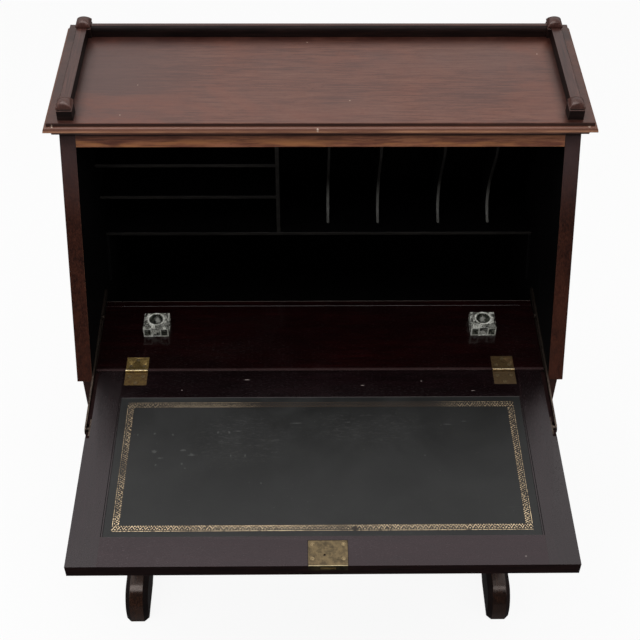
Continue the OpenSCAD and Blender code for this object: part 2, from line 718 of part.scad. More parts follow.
// Square glass inkwell with a bevelled top and a round well
module inkwell(s) {
    z1 = ink_up + ink_pocket;
    b = ink_bevel;
    color(glass) at_hinge() on_side(s) translate([ink_x, ink_y, -ink_pocket]) difference() {
        intersection() {
            slab_x([[-ink_d / 2, 0], [ink_d / 2, 0], [ink_d / 2, z1 - b], [ink_d / 2 - b, z1],
                    [b - ink_d / 2, z1], [-ink_d / 2, z1 - b]], -ink_w / 2, ink_w / 2);
            slab_y([[-ink_w / 2, 0], [ink_w / 2, 0], [ink_w / 2, z1 - b], [ink_w / 2 - b, z1],
                    [b - ink_w / 2, z1], [-ink_w / 2, z1 - b]], -ink_d / 2, ink_d / 2);
        }
        rod_z(ink_bore_r, 0, 0, ink_base, z1 + cut);
    }
}
module inkwell_left() inkwell(-1);
module inkwell_right() inkwell(1);

// Base: sledge feet with rounded toes, waisted end panels, stretcher and cleats
module foot_outline(inset) {
    rise = foot_h - toe_flat - inset;
    curve = toe_curve - inset;
    y0 = foot_y0 + inset;
    y1 = foot_y1 - inset;
    polygon(concat(
        [[y0, 0]],
        [for (a = [0:6:90]) [y0 + curve * (1 - cos(a)), toe_flat + rise * sin(a)]],
        [for (a = [90:-6:0]) [y1 - curve * (1 - cos(a)), toe_flat + rise * sin(a)]],
        [[y1, 0]]));
}
module foot(s) {
    half = (foot_y1 - foot_y0) / 2 - foot_pad;
    arch = concat([for (a = [0:10:180]) [base_y + half * cos(a), foot_arch * sin(a)]],
                  [[base_y - half, -cut], [base_y + half, -cut]]);
    color(wood_dark) at_ground() on_side(s) difference() {
        translate([foot_x - foot_w / 2, 0, 0]) rotate([90, 0, 90]) hull() {
            linear_extrude(foot_w) foot_outline(toe_bevel);
            translate([0, 0, toe_bevel]) linear_extrude(foot_w - 2 * toe_bevel) foot_outline(0);
        }
        slab_x(arch, foot_x - foot_w, foot_x + foot_w);
    }
}
module foot_left() foot(-1);
module foot_right() foot(1);

module end_panel(s) {
    n = 24;
    rise = panel_top - foot_h;
    outline = concat(
        [for (k = [0:n]) [base_y - panel_half(k / n), foot_h + rise * k / n]],
        [for (k = [n:-1:0]) [base_y + panel_half(k / n), foot_h + rise * k / n]]);
    color(wood) at_ground() on_side(s) difference() {
        slab_x(outline, foot_x - panel_t / 2, foot_x + panel_t / 2);
        block(foot_x - panel_t, foot_x + panel_t, base_y - tenon_t / 2, base_y + tenon_t / 2,
              stretcher_z + tenon_in, stretcher_z + stretcher_h - tenon_in);
    }
}
module end_panel_left() end_panel(-1);
module end_panel_right() end_panel(1);

module stretcher() color(wood) at_ground() {
    x = foot_x - panel_t / 2;
    block(-x, x, base_y - stretcher_t / 2, base_y + stretcher_t / 2,
          stretcher_z, stretcher_z + stretcher_h);
    both_sides() block(x - cut, x + panel_t, base_y - tenon_t / 2, base_y + tenon_t / 2,
        stretcher_z + tenon_in, stretcher_z + stretcher_h - tenon_in);
}
module top_cleats() color(wood) at_ground() both_sides() {
    x = foot_x - panel_t / 2;
    half = panel_waist / 2;
    block(x - cleat_w, x, base_y - half, base_y + half, panel_top - cleat_w, panel_top);
}

case_side_left();
case_side_right();
case_top();
top_board();
case_back();
floor_board();
floor_rim();
floor_bearers();
well_side_left();
well_side_right();
well_front();
well_back();
well_bottom();
main_shelf();
middle_shelf();
upper_shelf();
upright_divider();
shelf_ends();
shaped_divider_1();
shaped_divider_2();
shaped_divider_3();
shaped_divider_4();
gallery_back_rail();
gallery_rail_left();
gallery_rail_right();
gallery_post_front_left();
gallery_post_front_right();
gallery_post_back_left();
gallery_post_back_right();
fall_stile_left();
fall_stile_right();
fall_front_rail();
fall_hinge_rail();
fall_panel();
leather_inset();
hinge_floor_leaves();
hinge_fall_leaves();
hinge_pins();
hinge_floor_screws();
hinge_fall_screws();
lock_plate();
lock_case();
lock_bolt();
lock_screws();
key_escutcheon();
lock_strike();
stay_bar_left();
stay_bar_right();
stay_plates();
stay_plate_screws();
stay_studs();
inkwell_left();
inkwell_right();
end_panel_left();
end_panel_right();
foot_left();
foot_right();
stretcher();
top_cleats();
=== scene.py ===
"""Slope-front writing bureau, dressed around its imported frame."""
import json
import math
import random

import bmesh
import bpy
from bmesh.types import BMEdge, BMFace, BMVert
from mathutils import Matrix, Vector

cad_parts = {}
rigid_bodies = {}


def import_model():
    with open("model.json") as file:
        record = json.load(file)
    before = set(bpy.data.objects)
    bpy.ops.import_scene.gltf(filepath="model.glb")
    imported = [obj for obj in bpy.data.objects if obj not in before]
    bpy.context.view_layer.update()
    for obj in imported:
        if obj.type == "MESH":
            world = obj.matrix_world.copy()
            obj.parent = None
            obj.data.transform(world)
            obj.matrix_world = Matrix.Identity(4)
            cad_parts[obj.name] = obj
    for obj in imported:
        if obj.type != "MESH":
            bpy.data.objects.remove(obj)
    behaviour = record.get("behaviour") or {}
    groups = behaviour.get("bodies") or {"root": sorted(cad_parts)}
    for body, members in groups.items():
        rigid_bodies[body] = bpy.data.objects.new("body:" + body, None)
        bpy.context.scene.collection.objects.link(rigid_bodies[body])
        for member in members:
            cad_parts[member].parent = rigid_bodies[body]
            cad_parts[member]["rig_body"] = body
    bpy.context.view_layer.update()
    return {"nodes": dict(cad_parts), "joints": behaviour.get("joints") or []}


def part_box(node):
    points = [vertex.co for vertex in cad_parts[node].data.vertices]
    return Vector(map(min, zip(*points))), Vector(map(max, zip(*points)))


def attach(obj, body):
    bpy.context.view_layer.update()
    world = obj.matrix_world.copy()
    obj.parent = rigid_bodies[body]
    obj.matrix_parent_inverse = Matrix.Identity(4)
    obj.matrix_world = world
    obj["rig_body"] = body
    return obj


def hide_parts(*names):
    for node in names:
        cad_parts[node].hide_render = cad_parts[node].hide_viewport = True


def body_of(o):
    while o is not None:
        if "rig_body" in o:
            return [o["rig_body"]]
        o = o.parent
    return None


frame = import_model()

# Main lines of the bureau, read from the frame
MM = 0.001
HINGE_Y = frame["joints"][0]["pos_m"][1]
WRITING_Z = frame["joints"][0]["pos_m"][2]
BOARD_LOW, BOARD_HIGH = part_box("top_board")
BACK_RAIL_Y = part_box("gallery_back_rail")[0].y
RAIL_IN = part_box("gallery_rail_right")[0].x
RAIL_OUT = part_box("gallery_rail_right")[1].x

# Ways that a face can look
RIGHT = (1, 0, 0)
LEFT = (-1, 0, 0)
FRONT = (0, -1, 0)
BACK = (0, 1, 0)
DOWN = (0, 0, -1)


# Camera, light and floor

WHITE = (1, 1, 1)


def place_camera():
    """Camera at the photograph's place, seen from in front of and above the bureau."""
    pitch = math.radians(45.542)
    yaw = math.radians(1.009)
    roll = math.radians(0.532)
    focal_px = 1189.75
    frame_px = 640
    sensor_mm = 36
    place = (-0.0225, HINGE_Y - 1.1966, WRITING_Z + 1.3279)
    ahead = Vector((math.sin(yaw) * math.cos(pitch), math.cos(yaw) * math.cos(pitch), -math.sin(pitch)))
    side = Vector((math.cos(yaw), -math.sin(yaw), 0))
    above = side.cross(ahead)
    right = side * math.cos(roll) + above * math.sin(roll)
    up = above * math.cos(roll) - side * math.sin(roll)
    data = bpy.data.cameras.new("camera")
    data.sensor_width = sensor_mm
    data.lens = sensor_mm * focal_px / frame_px
    data.clip_end = 40
    camera = bpy.data.objects.new("camera", data)
    turn = Matrix((right, up, -ahead)).transposed().to_4x4()
    camera.matrix_world = Matrix.Translation(place) @ turn
    bpy.context.scene.collection.objects.link(camera)
    bpy.context.scene.camera = camera


def area_light(name, place, aim, width, height, watts):
    """Soft rectangular lamp that faces a point."""
    data = bpy.data.lights.new(name, "AREA")
    data.shape = "RECTANGLE"
    data.size = width
    data.size_y = height
    data.energy = watts
    lamp = bpy.data.objects.new(name, data)
    facing = (Vector(aim) - Vector(place)).to_track_quat("-Z", "Y")
    lamp.matrix_world = Matrix.Translation(place) @ facing.to_matrix().to_4x4()
    bpy.context.scene.collection.objects.link(lamp)


def mirrored_rays(tree, path):
    """1 for what gloss and glass show."""
    return most(tree, path.outputs["Is Glossy Ray"], path.outputs["Is Transmission Ray"])


def light_studio():
    """Broad soft light from above, weaker light from the sides, white surroundings."""
    area_light("overhead", (-0.3, -0.5, 3.4), (0, 0, 0.7), width=3.0, height=1.6, watts=48)
    area_light("left_soft", (-2.8, -1.2, 1.9), (0, 0, 0.8), width=1.6, height=1.8, watts=14)
    area_light("right_soft", (2.9, -0.9, 1.8), (0, 0, 0.8), width=1.6, height=1.8, watts=12)
    world = bpy.data.worlds.new("studio")
    bpy.context.scene.world = world
    world.use_nodes = True
    tree = world.node_tree
    path = add(tree, "ShaderNodeLightPath")
    around = add(tree, "ShaderNodeTexCoord").outputs["Generated"]
    toward_back = ramp(tree, axis_of(tree, around, "Y"), -0.45, 0.35)
    upward = ramp(tree, axis_of(tree, around, "Z"), 0.05, 0.45)
    mirrored = mirrored_rays(tree, path)
    share = times(tree, mirrored, scaled(tree, times(tree, toward_back, upward), 0.92, 0.08))
    plain = times(tree, minus(tree, 1.0, mirrored), 0.42)
    strength = most(tree, path.outputs["Is Camera Ray"], plus(tree, share, plain))
    feed_all(tree, tree.nodes["Background"], {"Color": WHITE, "Strength": strength})


def lay_floor():
    """Pale floor that keeps a soft shadow under the feet."""
    bm = bmesh.new()
    bmesh.ops.create_grid(bm, x_segments=1, y_segments=1, size=14)
    mesh = bpy.data.meshes.new("studio_floor")
    bm.to_mesh(mesh)
    bm.free()
    floor = bpy.data.objects.new("studio_floor", mesh)
    bpy.context.scene.collection.objects.link(floor)
    material = bpy.data.materials.new("studio_floor")
    material.use_nodes = True
    tree = material.node_tree
    shader = tree.nodes["Principled BSDF"]
    feed_all(tree, shader, {"Base Color": (0.8, 0.8, 0.8), "Roughness": 0.9, "Specular IOR Level": 0.0})
    path = add(tree, "ShaderNodeLightPath")
    mirrored = mirrored_rays(tree, path)
    bright = times(tree, path.outputs["Is Camera Ray"], 1.03)
    glow = add(tree, "ShaderNodeEmission")
    feed_all(tree, glow, {"Color": WHITE, "Strength": plus(tree, bright, times(tree, mirrored, 0.12))})
    mix = add(tree, "ShaderNodeMixShader")
    seen = most(tree, path.outputs["Is Camera Ray"], mirrored)
    feed(tree, mix.inputs[0], times(tree, seen, 0.88))
    feed(tree, mix.inputs[1], shader.outputs[0])
    feed(tree, mix.inputs[2], glow.outputs[0])
    feed(tree, tree.nodes["Material Output"].inputs["Surface"], mix.outputs[0])
    mesh.materials.append(material)


# Shader nodes

FLOAT = "NodeSocketFloat"
COLOR = "NodeSocketColor"
VECTOR = "NodeSocketVector"


def add(tree, kind, **settings):
    """New node with its settings."""
    node = tree.nodes.new(kind)
    for key, value in settings.items():
        setattr(node, key, value)
    return node


def feed(tree, socket, value):
    """Gives a socket a number, a colour, a vector or a link."""
    if isinstance(value, (int, float)):
        socket.default_value = value
    elif isinstance(value, tuple):
        socket.default_value = (*value, 1) if socket.type == "RGBA" else value
    else:
        tree.links.new(value, socket)


def feed_all(tree, node, values):
    """Gives several inputs of a node their values or links."""
    for label, value in values.items():
        feed(tree, node.inputs[label], value)


def math_node(tree, operation, *values, clamp=False):
    """Math node fed by sockets or numbers; returns its output."""
    node = add(tree, "ShaderNodeMath", operation=operation, use_clamp=clamp)
    for socket, value in zip(node.inputs, values):
        feed(tree, socket, value)
    return node.outputs[0]


def combined(tree, operation, values):
    """Sockets and numbers joined one after another by the same operation."""
    result = values[0]
    for value in values[1:]:
        result = math_node(tree, operation, result, value)
    return result


def times(tree, *values):
    """Product of sockets and numbers."""
    return combined(tree, "MULTIPLY", values)


def plus(tree, *values):
    """Sum of sockets and numbers."""
    return combined(tree, "ADD", values)


def most(tree, *values):
    """Largest of some sockets."""
    return combined(tree, "MAXIMUM", values)


def minus(tree, a, b):
    """Difference of two sockets or numbers."""
    return math_node(tree, "SUBTRACT", a, b)


def scaled(tree, value, factor, start):
    """Value times factor, counted from start."""
    return math_node(tree, "MULTIPLY_ADD", value, factor, start)


def vector_node(tree, operation, a, b=None):
    """Vector Math node fed by sockets; returns it."""
    node = add(tree, "ShaderNodeVectorMath", operation=operation)
    feed(tree, node.inputs[0], a)
    if b is not None:
        feed(tree, node.inputs["Scale" if operation == "SCALE" else 1], b)
    return node


def mix_color(tree, factor, a, b):
    """Colour mix fed by sockets or colours; returns its output."""
    node = add(tree, "ShaderNodeMix", data_type="RGBA")
    feed(tree, node.inputs["Factor"], factor)
    feed(tree, node.inputs[6], a)
    feed(tree, node.inputs[7], b)
    return node.outputs[2]


def stretch(tree, vector, scale, turn=0.0):
    """Vector turned about the upright and scaled."""
    node = add(tree, "ShaderNodeMapping")
    feed_all(tree, node, {"Vector": vector, "Scale": scale, "Rotation": (0, 0, turn)})
    return node.outputs[0]


def noise(tree, vector, scale, detail=4.0, rough=0.5, distortion=0.0):
    """Noise texture's value."""
    node = add(tree, "ShaderNodeTexNoise")
    feed_all(tree, node, {"Vector": vector, "Scale": scale, "Detail": detail, "Roughness": rough,
                          "Distortion": distortion})
    return node.outputs["Fac"]


def ramp(tree, value, low, high):
    """Value spread smoothly from 0 at low to 1 at high."""
    node = add(tree, "ShaderNodeMapRange", interpolation_type="SMOOTHSTEP")
    feed_all(tree, node, {"Value": value, "From Min": low, "From Max": high})
    return node.outputs["Result"]


def band(tree, value, rise_from, rise_to, fall_from, fall_to):
    """1 between a soft rise and a soft fall of a value."""
    return times(tree, ramp(tree, value, rise_from, rise_to), ramp(tree, value, fall_from, fall_to))


def patches(tree, vector, spread, low, high, scale=1.0, detail=4.0, rough=0.6, distortion=0.0, turn=0.0):
    """Noise drawn out along an axis, spread smoothly from 0 at low to 1 at high."""
    drawn = stretch(tree, vector, spread, turn)
    return ramp(tree, noise(tree, drawn, scale, detail, rough, distortion), low, high)


def axis_of(tree, vector, axis):
    """One coordinate of a vector."""
    split = add(tree, "ShaderNodeSeparateXYZ")
    feed(tree, split.inputs[0], vector)
    return split.outputs[axis]


# Shader groups shared by the finishes

def new_group(name, inputs, outputs):
    """Empty node group with named sockets; returns its tree, input node and output node."""
    tree = bpy.data.node_groups.new(name, "ShaderNodeTree")
    for label, kind, value in inputs:
        socket = tree.interface.new_socket(name=label, in_out="INPUT", socket_type=kind)
        if value is not None:
            socket.default_value = value
    for label, kind in outputs:
        tree.interface.new_socket(name=label, in_out="OUTPUT", socket_type=kind)
    return tree, add(tree, "NodeGroupInput"), add(tree, "NodeGroupOutput")


def build_grain_group():
    """Mahogany grain along X: soft ribbon figure, fine streaks and short dark pores."""
    tree, start, end = new_group(
        "mahogany_grain",
        [("Vector", VECTOR, None), ("Dark", COLOR, (0.05, 0.02, 0.015, 1)),
         ("Mid", COLOR, (0.12, 0.05, 0.035, 1)), ("Light", COLOR, (0.2, 0.09, 0.06, 1)),
         ("Figure", FLOAT, 0.5)],
        [("Color", COLOR), ("Height", FLOAT), ("Pores", FLOAT)])
    vector = start.outputs["Vector"]
    dark = start.outputs["Dark"]
    broad = patches(tree, vector, (2.2, 6, 6), 0.3, 0.7, rough=0.55, distortion=0.6)
    ribbon = patches(tree, vector, (6, 75, 75), 0.3, 0.7, detail=3.0, distortion=0.3)
    streak = noise(tree, stretch(tree, vector, (26, 520, 520)), 1.0, 3.0, 0.6)
    pores = patches(tree, vector, (150, 1700, 1700), 0.6, 0.72, detail=1.0, rough=0.5)
    tone = plus(tree, times(tree, broad, 0.3), times(tree, ribbon, 0.22),
                times(tree, ramp(tree, streak, 0.3, 0.7), 0.48))
    spread = times(tree, minus(tree, tone, 0.5), start.outputs["Figure"], 2.0)
    tone = math_node(tree, "ADD", spread, 0.5, clamp=True)
    lower = math_node(tree, "MULTIPLY", tone, 2.0, clamp=True)
    upper = math_node(tree, "MULTIPLY_ADD", tone, 2.0, -1.0, clamp=True)
    colour = mix_color(tree, lower, dark, start.outputs["Mid"])
    colour = mix_color(tree, upper, colour, start.outputs["Light"])
    colour = mix_color(tree, times(tree, pores, 0.6), colour, dark)
    height = minus(tree, times(tree, streak, 0.3), pores)
    feed_all(tree, end, {"Color": colour, "Height": height, "Pores": pores})
    return tree


def build_edge_group():
    """Wear along edges: 1 on a sharp edge, broken up by noise, 0 on flat faces."""
    tree, start, end = new_group(
        "edge_wear", [("Vector", VECTOR, None), ("Radius", FLOAT, 0.0012), ("Breakup", FLOAT, 60.0)],
        [("Mask", FLOAT)])
    bevel = add(tree, "ShaderNodeBevel", samples=6)
    feed(tree, bevel.inputs["Radius"], start.outputs["Radius"])
    normal = add(tree, "ShaderNodeNewGeometry").outputs["Normal"]
    likeness = vector_node(tree, "DOT_PRODUCT", bevel.outputs[0], normal).outputs["Value"]
    edge = ramp(tree, math_node(tree, "SUBTRACT", 1.0, likeness, clamp=True), 0.01, 0.2)
    worn = ramp(tree, noise(tree, start.outputs["Vector"], start.outputs["Breakup"], 5.0), 0.38, 0.62)
    feed_all(tree, end, {"Mask": times(tree, edge, worn)})
    return tree


def build_scuff_group():
    """Handling marks: broad hazy patches and thin broken scratches."""
    tree, start, end = new_group(
        "handling", [("Vector", VECTOR, None), ("Scale", FLOAT, 1.0)],
        [("Haze", FLOAT), ("Scratches", FLOAT)])
    vector = vector_node(tree, "SCALE", start.outputs["Vector"], start.outputs["Scale"]).outputs[0]
    haze = ramp(tree, noise(tree, vector, 7.0, 5.0, 0.6, 0.4), 0.35, 0.75)
    ways = ((0.12, (5, 330, 60)), (-0.7, (300, 7, 60)), (0.5, (8, 260, 80)))
    lines = most(tree, *[patches(tree, vector, spread, 0.73, 0.79, detail=2.0, rough=0.5, distortion=0.2,
                                 turn=turn) for turn, spread in ways])
    broken = ramp(tree, noise(tree, vector, 60.0, 2.0), 0.45, 0.6)
    feed_all(tree, end, {"Haze": haze, "Scratches": times(tree, lines, broken)})
    return tree


def build_spot_group():
    """Small ragged mark round a place: 1 in it, 0 outside its reach."""
    tree, start, end = new_group(
        "small_mark",
        [("Vector", VECTOR, None), ("Place", VECTOR, (0, 0, 0)), ("Reach", VECTOR, (1, 1, 1))],
        [("Mask", FLOAT)])
    away = vector_node(tree, "SUBTRACT", start.outputs["Vector"], start.outputs["Place"]).outputs[0]
    share = vector_node(tree, "DIVIDE", away, start.outputs["Reach"]).outputs[0]
    far = vector_node(tree, "LENGTH", share).outputs["Value"]
    ragged = noise(tree, start.outputs["Vector"], 420.0, 3.0, 0.6)
    reach = plus(tree, far, scaled(tree, ragged, 1.6, -0.8))
    feed_all(tree, end, {"Mask": ramp(tree, reach, 1.0, 0.45)})
    return tree


GRAIN = build_grain_group()
EDGE = build_edge_group()
SCUFF = build_scuff_group()
SPOT = build_spot_group()
MARK_HEIGHT = 9 * MM


def use_group(tree, group, **values):
    """Group node with its input values or links."""
    node = add(tree, "ShaderNodeGroup", node_tree=group)
    feed_all(tree, node, values)
    return node


def spots(tree, place, marks, level):
    """Mask of small marks; each is x, y from the hinge line and half its length and width, in mm."""
    masks = []
    for x, y, long, wide in marks:
        mark = use_group(tree, SPOT, Vector=place, Place=(x * MM, HINGE_Y + y * MM, level),
                         Reach=(long * MM, wide * MM, MARK_HEIGHT))
        masks.append(mark.outputs["Mask"])
    return most(tree, *masks)


# Wood

TURNS = {"x": (0, 0, 0), "y": (0, 0, math.pi / 2), "z": (0, math.pi / 2, 0)}
HAZE_DULLING = 0.09
PORE_DULLING = 0.15
GRAIN_DEPTH = 0.0004


def start_material(name):
    """New material; returns it, its tree, its shader and its Object coordinates."""
    material = bpy.data.materials.new(name)
    material.use_nodes = True
    tree = material.node_tree
    place = add(tree, "ShaderNodeTexCoord").outputs["Object"]
    return material, tree, tree.nodes["Principled BSDF"], place


def set_bump(tree, shader, height, strength, distance):
    """Fine relief on a shader."""
    bump = add(tree, "ShaderNodeBump")
    feed_all(tree, bump, {"Height": height, "Strength": strength, "Distance": distance})
    feed(tree, shader.inputs["Normal"], bump.outputs[0])


def wood(name, grain, dark, mid, light, rough, wear, wear_share, figure=0.5, shine=0.5, tint=WHITE,
         coat=0.0, coat_rough=0.2, scratch_share=0.1, relief=0.12, layers=()):
    """Polished mahogany with its grain along one axis, worn edges, haze, scratches and other layers."""
    material, tree, shader, place = start_material(name)
    turned = add(tree, "ShaderNodeMapping")
    feed_all(tree, turned, {"Vector": place, "Rotation": TURNS[grain]})
    grained = use_group(tree, GRAIN, Vector=turned.outputs[0], Dark=dark, Mid=mid, Light=light,
                        Figure=figure)
    edge = use_group(tree, EDGE, Vector=place)
    marks = use_group(tree, SCUFF, Vector=place)
    worn = times(tree, edge.outputs["Mask"], wear_share)
    scratched = times(tree, marks.outputs["Scratches"], scratch_share)
    colour = mix_color(tree, worn, grained.outputs["Color"], wear)
    colour = mix_color(tree, scratched, colour, wear)
    for layer in layers:
        mask, shade = layer(tree, place)
        colour = mix_color(tree, mask, colour, shade)
    haze = times(tree, marks.outputs["Haze"], HAZE_DULLING)
    pores = times(tree, grained.outputs["Pores"], PORE_DULLING)
    set_bump(tree, shader, grained.outputs["Height"], relief, GRAIN_DEPTH)
    feed_all(tree, shader, {"Base Color": colour, "Roughness": plus(tree, rough, haze, pores),
                            "Specular IOR Level": shine, "Specular Tint": tint,
                            "Coat Weight": coat, "Coat Roughness": coat_rough})
    return material


# Layers of the wood's finish: each gives its mask and its colour

def board_tone(tree, place):
    """Broad cooler clouds in the top board's polish, closed together towards the left."""
    cloud = ramp(tree, noise(tree, place, 3.1, 4.0, 0.55, 0.8), 0.35, 0.7)
    left = ramp(tree, axis_of(tree, place, "X"), -0.05, -0.33)
    return most(tree, times(tree, cloud, 0.5), times(tree, left, 0.85)), (0.074, 0.038, 0.034)


def board_warmth(tree, place):
    """Redder clouds, broken by the grain, in the top board's colour."""
    cloud = patches(tree, place, (1.6, 2.6, 2.6), 0.48, 0.66, 2.4, 5.0, distortion=1.2)
    fine = patches(tree, place, (40, 300, 300), 0.35, 0.65, rough=0.7)
    return times(tree, cloud, scaled(tree, fine, 0.4, 0.3)), (0.17, 0.055, 0.034)


def board_shade_and_dust(tree, place):
    """Painted shade, with some dust, along the gallery's foot and on the strips outside it."""
    across = math_node(tree, "ABSOLUTE", axis_of(tree, place, "X"))
    back = ramp(tree, axis_of(tree, place, "Y"), BACK_RAIL_Y - 34 * MM, BACK_RAIL_Y - 2 * MM)
    side = ramp(tree, across, RAIL_IN - 22 * MM, RAIL_IN)
    outside = times(tree, ramp(tree, across, RAIL_OUT - MM, RAIL_OUT), 0.3)
    near = most(tree, back, minus(tree, side, outside))
    ragged = ramp(tree, noise(tree, place, 26.0, 4.0, 0.6), 0.2, 0.7)
    return times(tree, near, scaled(tree, ragged, 0.35, 0.65)), (0.024, 0.006, 0.004)


def moulding_band(tree, place, *levels):
    """Band along the moulded edge; its rise and fall are in mm above the board's underside."""
    return band(tree, axis_of(tree, place, "Z"), *[BOARD_LOW.z + level * MM for level in levels])


def board_thumb_shade(tree, place):
    """Painted shade on the round above the worn flat of the moulded edge: a dark reflection painted into its
    colour.
    """
    inset = 3.2 * MM
    front = minus(tree, axis_of(tree, place, "Y"), BOARD_LOW.y + inset)
    side = minus(tree, BOARD_HIGH.x - inset, math_node(tree, "ABSOLUTE", axis_of(tree, place, "X")))
    inward = math_node(tree, "MINIMUM", front, side)
    step = band(tree, inward, 0.0, 0.8 * MM, 4.0 * MM, 3.2 * MM)
    dark = times(tree, moulding_band(tree, place, 15.9, 16.7, 21.6, 20.9), scaled(tree, step, 0.85, 0.15))
    patch = patches(tree, place, (7, 40, 40), 0.25, 0.75)
    return times(tree, dark, scaled(tree, patch, -0.2, 0.98)), (0.02, 0.005, 0.003)


def board_flat_wear_and_highlight(tree, place):
    """Orange wear and a painted highlight on the flat of the moulded edge."""
    patch = patches(tree, place, (7, 60, 60), 0.34, 0.66)
    flat = moulding_band(tree, place, 8.6, 9.8, 13.6, 12.2)
    return times(tree, flat, scaled(tree, patch, 0.8, 0.1)), (0.42, 0.2, 0.11)


def board_round(tree, place):
    """Red-brown polish on the round between the quirk and the worn flat."""
    patch = patches(tree, place, (5, 30, 30), 0.3, 0.7)
    rounded = moulding_band(tree, place, 8.6, 9.8, 17.4, 16.4)
    return times(tree, rounded, scaled(tree, patch, -0.3, 0.9)), (0.17, 0.068, 0.042)


def board_marks(tree, place):
    """Pale chips and specks on the top board."""
    marks = [(-275.6, 148.8, 1.5, 1.2), (318.1, 298.3, 1.6, 1.4), (-18.7, 329.7, 1.6, 1.2),
             (40.5, 182.3, 1.2, 1.2), (-258.2, 220.3, 1.0, 1.0), (-366.9, 128.4, 2.4, 1.4),
             (-4.8, 124.8, 2.4, 2.0), (367, 128, 2.0, 1.4)]
    return times(tree, spots(tree, place, marks, BOARD_HIGH.z - 4 * MM), 0.75), (0.62, 0.48, 0.38)


def rim_edge_highlight(tree, place):
    """Painted highlight on the rubbed back edge of the rim strip."""
    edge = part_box("floor_rim")[1].y
    near = ramp(tree, axis_of(tree, place, "Y"), edge - 1.6 * MM, edge - 0.7 * MM)
    return times(tree, near, 0.85), (0.12, 0.1, 0.09)


def shadow_under_top(tree, place):
    """Painted shadow close under the overhang of the top board."""
    ragged = scaled(tree, noise(tree, place, 60.0, 3.0), 0.8 * MM, axis_of(tree, place, "Z"))
    # the painted shadow's mask
    dirt = ramp(tree, ragged, BOARD_LOW.z - 7.5 * MM, BOARD_LOW.z - 4.2 * MM)
    return times(tree, dirt, 0.97), (0.006, 0.001, 0.001)


def case_high_reflection(tree, place):
    """Greyer, darker colour high up on the case's edges: a painted reflection."""
    high = ramp(tree, axis_of(tree, place, "Z"), WRITING_Z + 210 * MM, WRITING_Z + 310 * MM)
    soft = patches(tree, place, (9, 9, 4), 0.3, 0.7, 1.5)
    return times(tree, high, scaled(tree, soft, 0.35, 0.5)), (0.052, 0.033, 0.034)


def golden_patches(tree, place):
    """Golden patches where the polish has worn thin."""
    patch = patches(tree, place, (7, 60, 60), 0.42, 0.64, 1.6, 5.0, distortion=0.4)
    low = ramp(tree, axis_of(tree, place, "Z"), BOARD_LOW.z - 9 * MM, BOARD_LOW.z - 16 * MM)
    return times(tree, patch, scaled(tree, low, 0.5, 0.25)), (0.42, 0.17, 0.06)


def divider_foot_highlight(tree, place):
    """Painted highlight on the front edges near the dividers' lower ends."""
    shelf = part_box("main_shelf")[1].z
    low = ramp(tree, axis_of(tree, place, "Z"), shelf + 75 * MM, shelf + 18 * MM)
    patch = ramp(tree, noise(tree, place, 22.0, 3.0), 0.3, 0.6)
    return times(tree, low, scaled(tree, patch, 0.5, 0.4)), (0.15, 0.147, 0.135)


def floor_rub(tree, place):
    """Pale line rubbed along the floor's front edge."""
    line = band(tree, axis_of(tree, place, "Y"), HINGE_Y - 0.4 * MM, HINGE_Y + 0.6 * MM,
                HINGE_Y + 6.5 * MM, HINGE_Y + 3 * MM)
    patch = patches(tree, place, (30, 6, 6), 0.2, 0.5)
    return times(tree, line, scaled(tree, patch, 0.5, 0.45)), (0.034, 0.019, 0.019)


def red_patches(tree, place):
    """Red-orange patches low on the case's edges."""
    patch = patches(tree, place, (40, 40, 12), 0.4, 0.66, 1.6, 5.0, 0.7, 0.4)
    low = ramp(tree, axis_of(tree, place, "Z"), WRITING_Z + 240 * MM, WRITING_Z + 60 * MM)
    return times(tree, patch, scaled(tree, low, 0.4, 0.03)), (0.062, 0.015, 0.006)


def fall_marks(tree, place):
    """White fleck and short pale scratches on the fall."""
    marks = [(265.7, -328.4, 1.4, 1.1), (-110, -18, 5, 0.8), (62, -30, 4, 0.7), (150, -22, 1.2, 1.0),
             (-205, -38, 1.2, 0.9), (225, -41, 3, 0.7)]
    return times(tree, spots(tree, place, marks, WRITING_Z), 0.7), (0.35, 0.3, 0.28)


TOP = dict(dark=(0.062, 0.018, 0.012), mid=(0.145, 0.053, 0.034), light=(0.2, 0.088, 0.058),
           rough=0.33, shine=0.62, tint=(1.0, 0.88, 0.83), wear=(0.3, 0.14, 0.09), wear_share=0.12,
           scratch_share=0.06)
GALLERY = dict(dark=(0.02, 0.007, 0.006), mid=(0.056, 0.021, 0.016), light=(0.12, 0.05, 0.036),
               rough=0.28, shine=0.6, tint=(1.0, 0.86, 0.82), wear=(0.26, 0.17, 0.14), wear_share=0.6)
SHADE = dict(dark=(0.002, 0.001, 0.001), mid=(0.0085, 0.0034, 0.003), light=(0.02, 0.008, 0.006),
             rough=0.5, shine=0.15, wear=(0.12, 0.07, 0.055), wear_share=0.5)
CASE = dict(dark=(0.012, 0.003, 0.0018), mid=(0.031, 0.0078, 0.0038), light=(0.05, 0.015, 0.008),
            rough=0.36, shine=0.22, wear=(0.3, 0.13, 0.07), wear_share=0.35)
RAIL = dict(dark=(0.085, 0.026, 0.015), mid=(0.175, 0.06, 0.034), light=(0.33, 0.13, 0.065),
            rough=0.34, shine=0.4, wear=(0.34, 0.14, 0.08), wear_share=0.3)
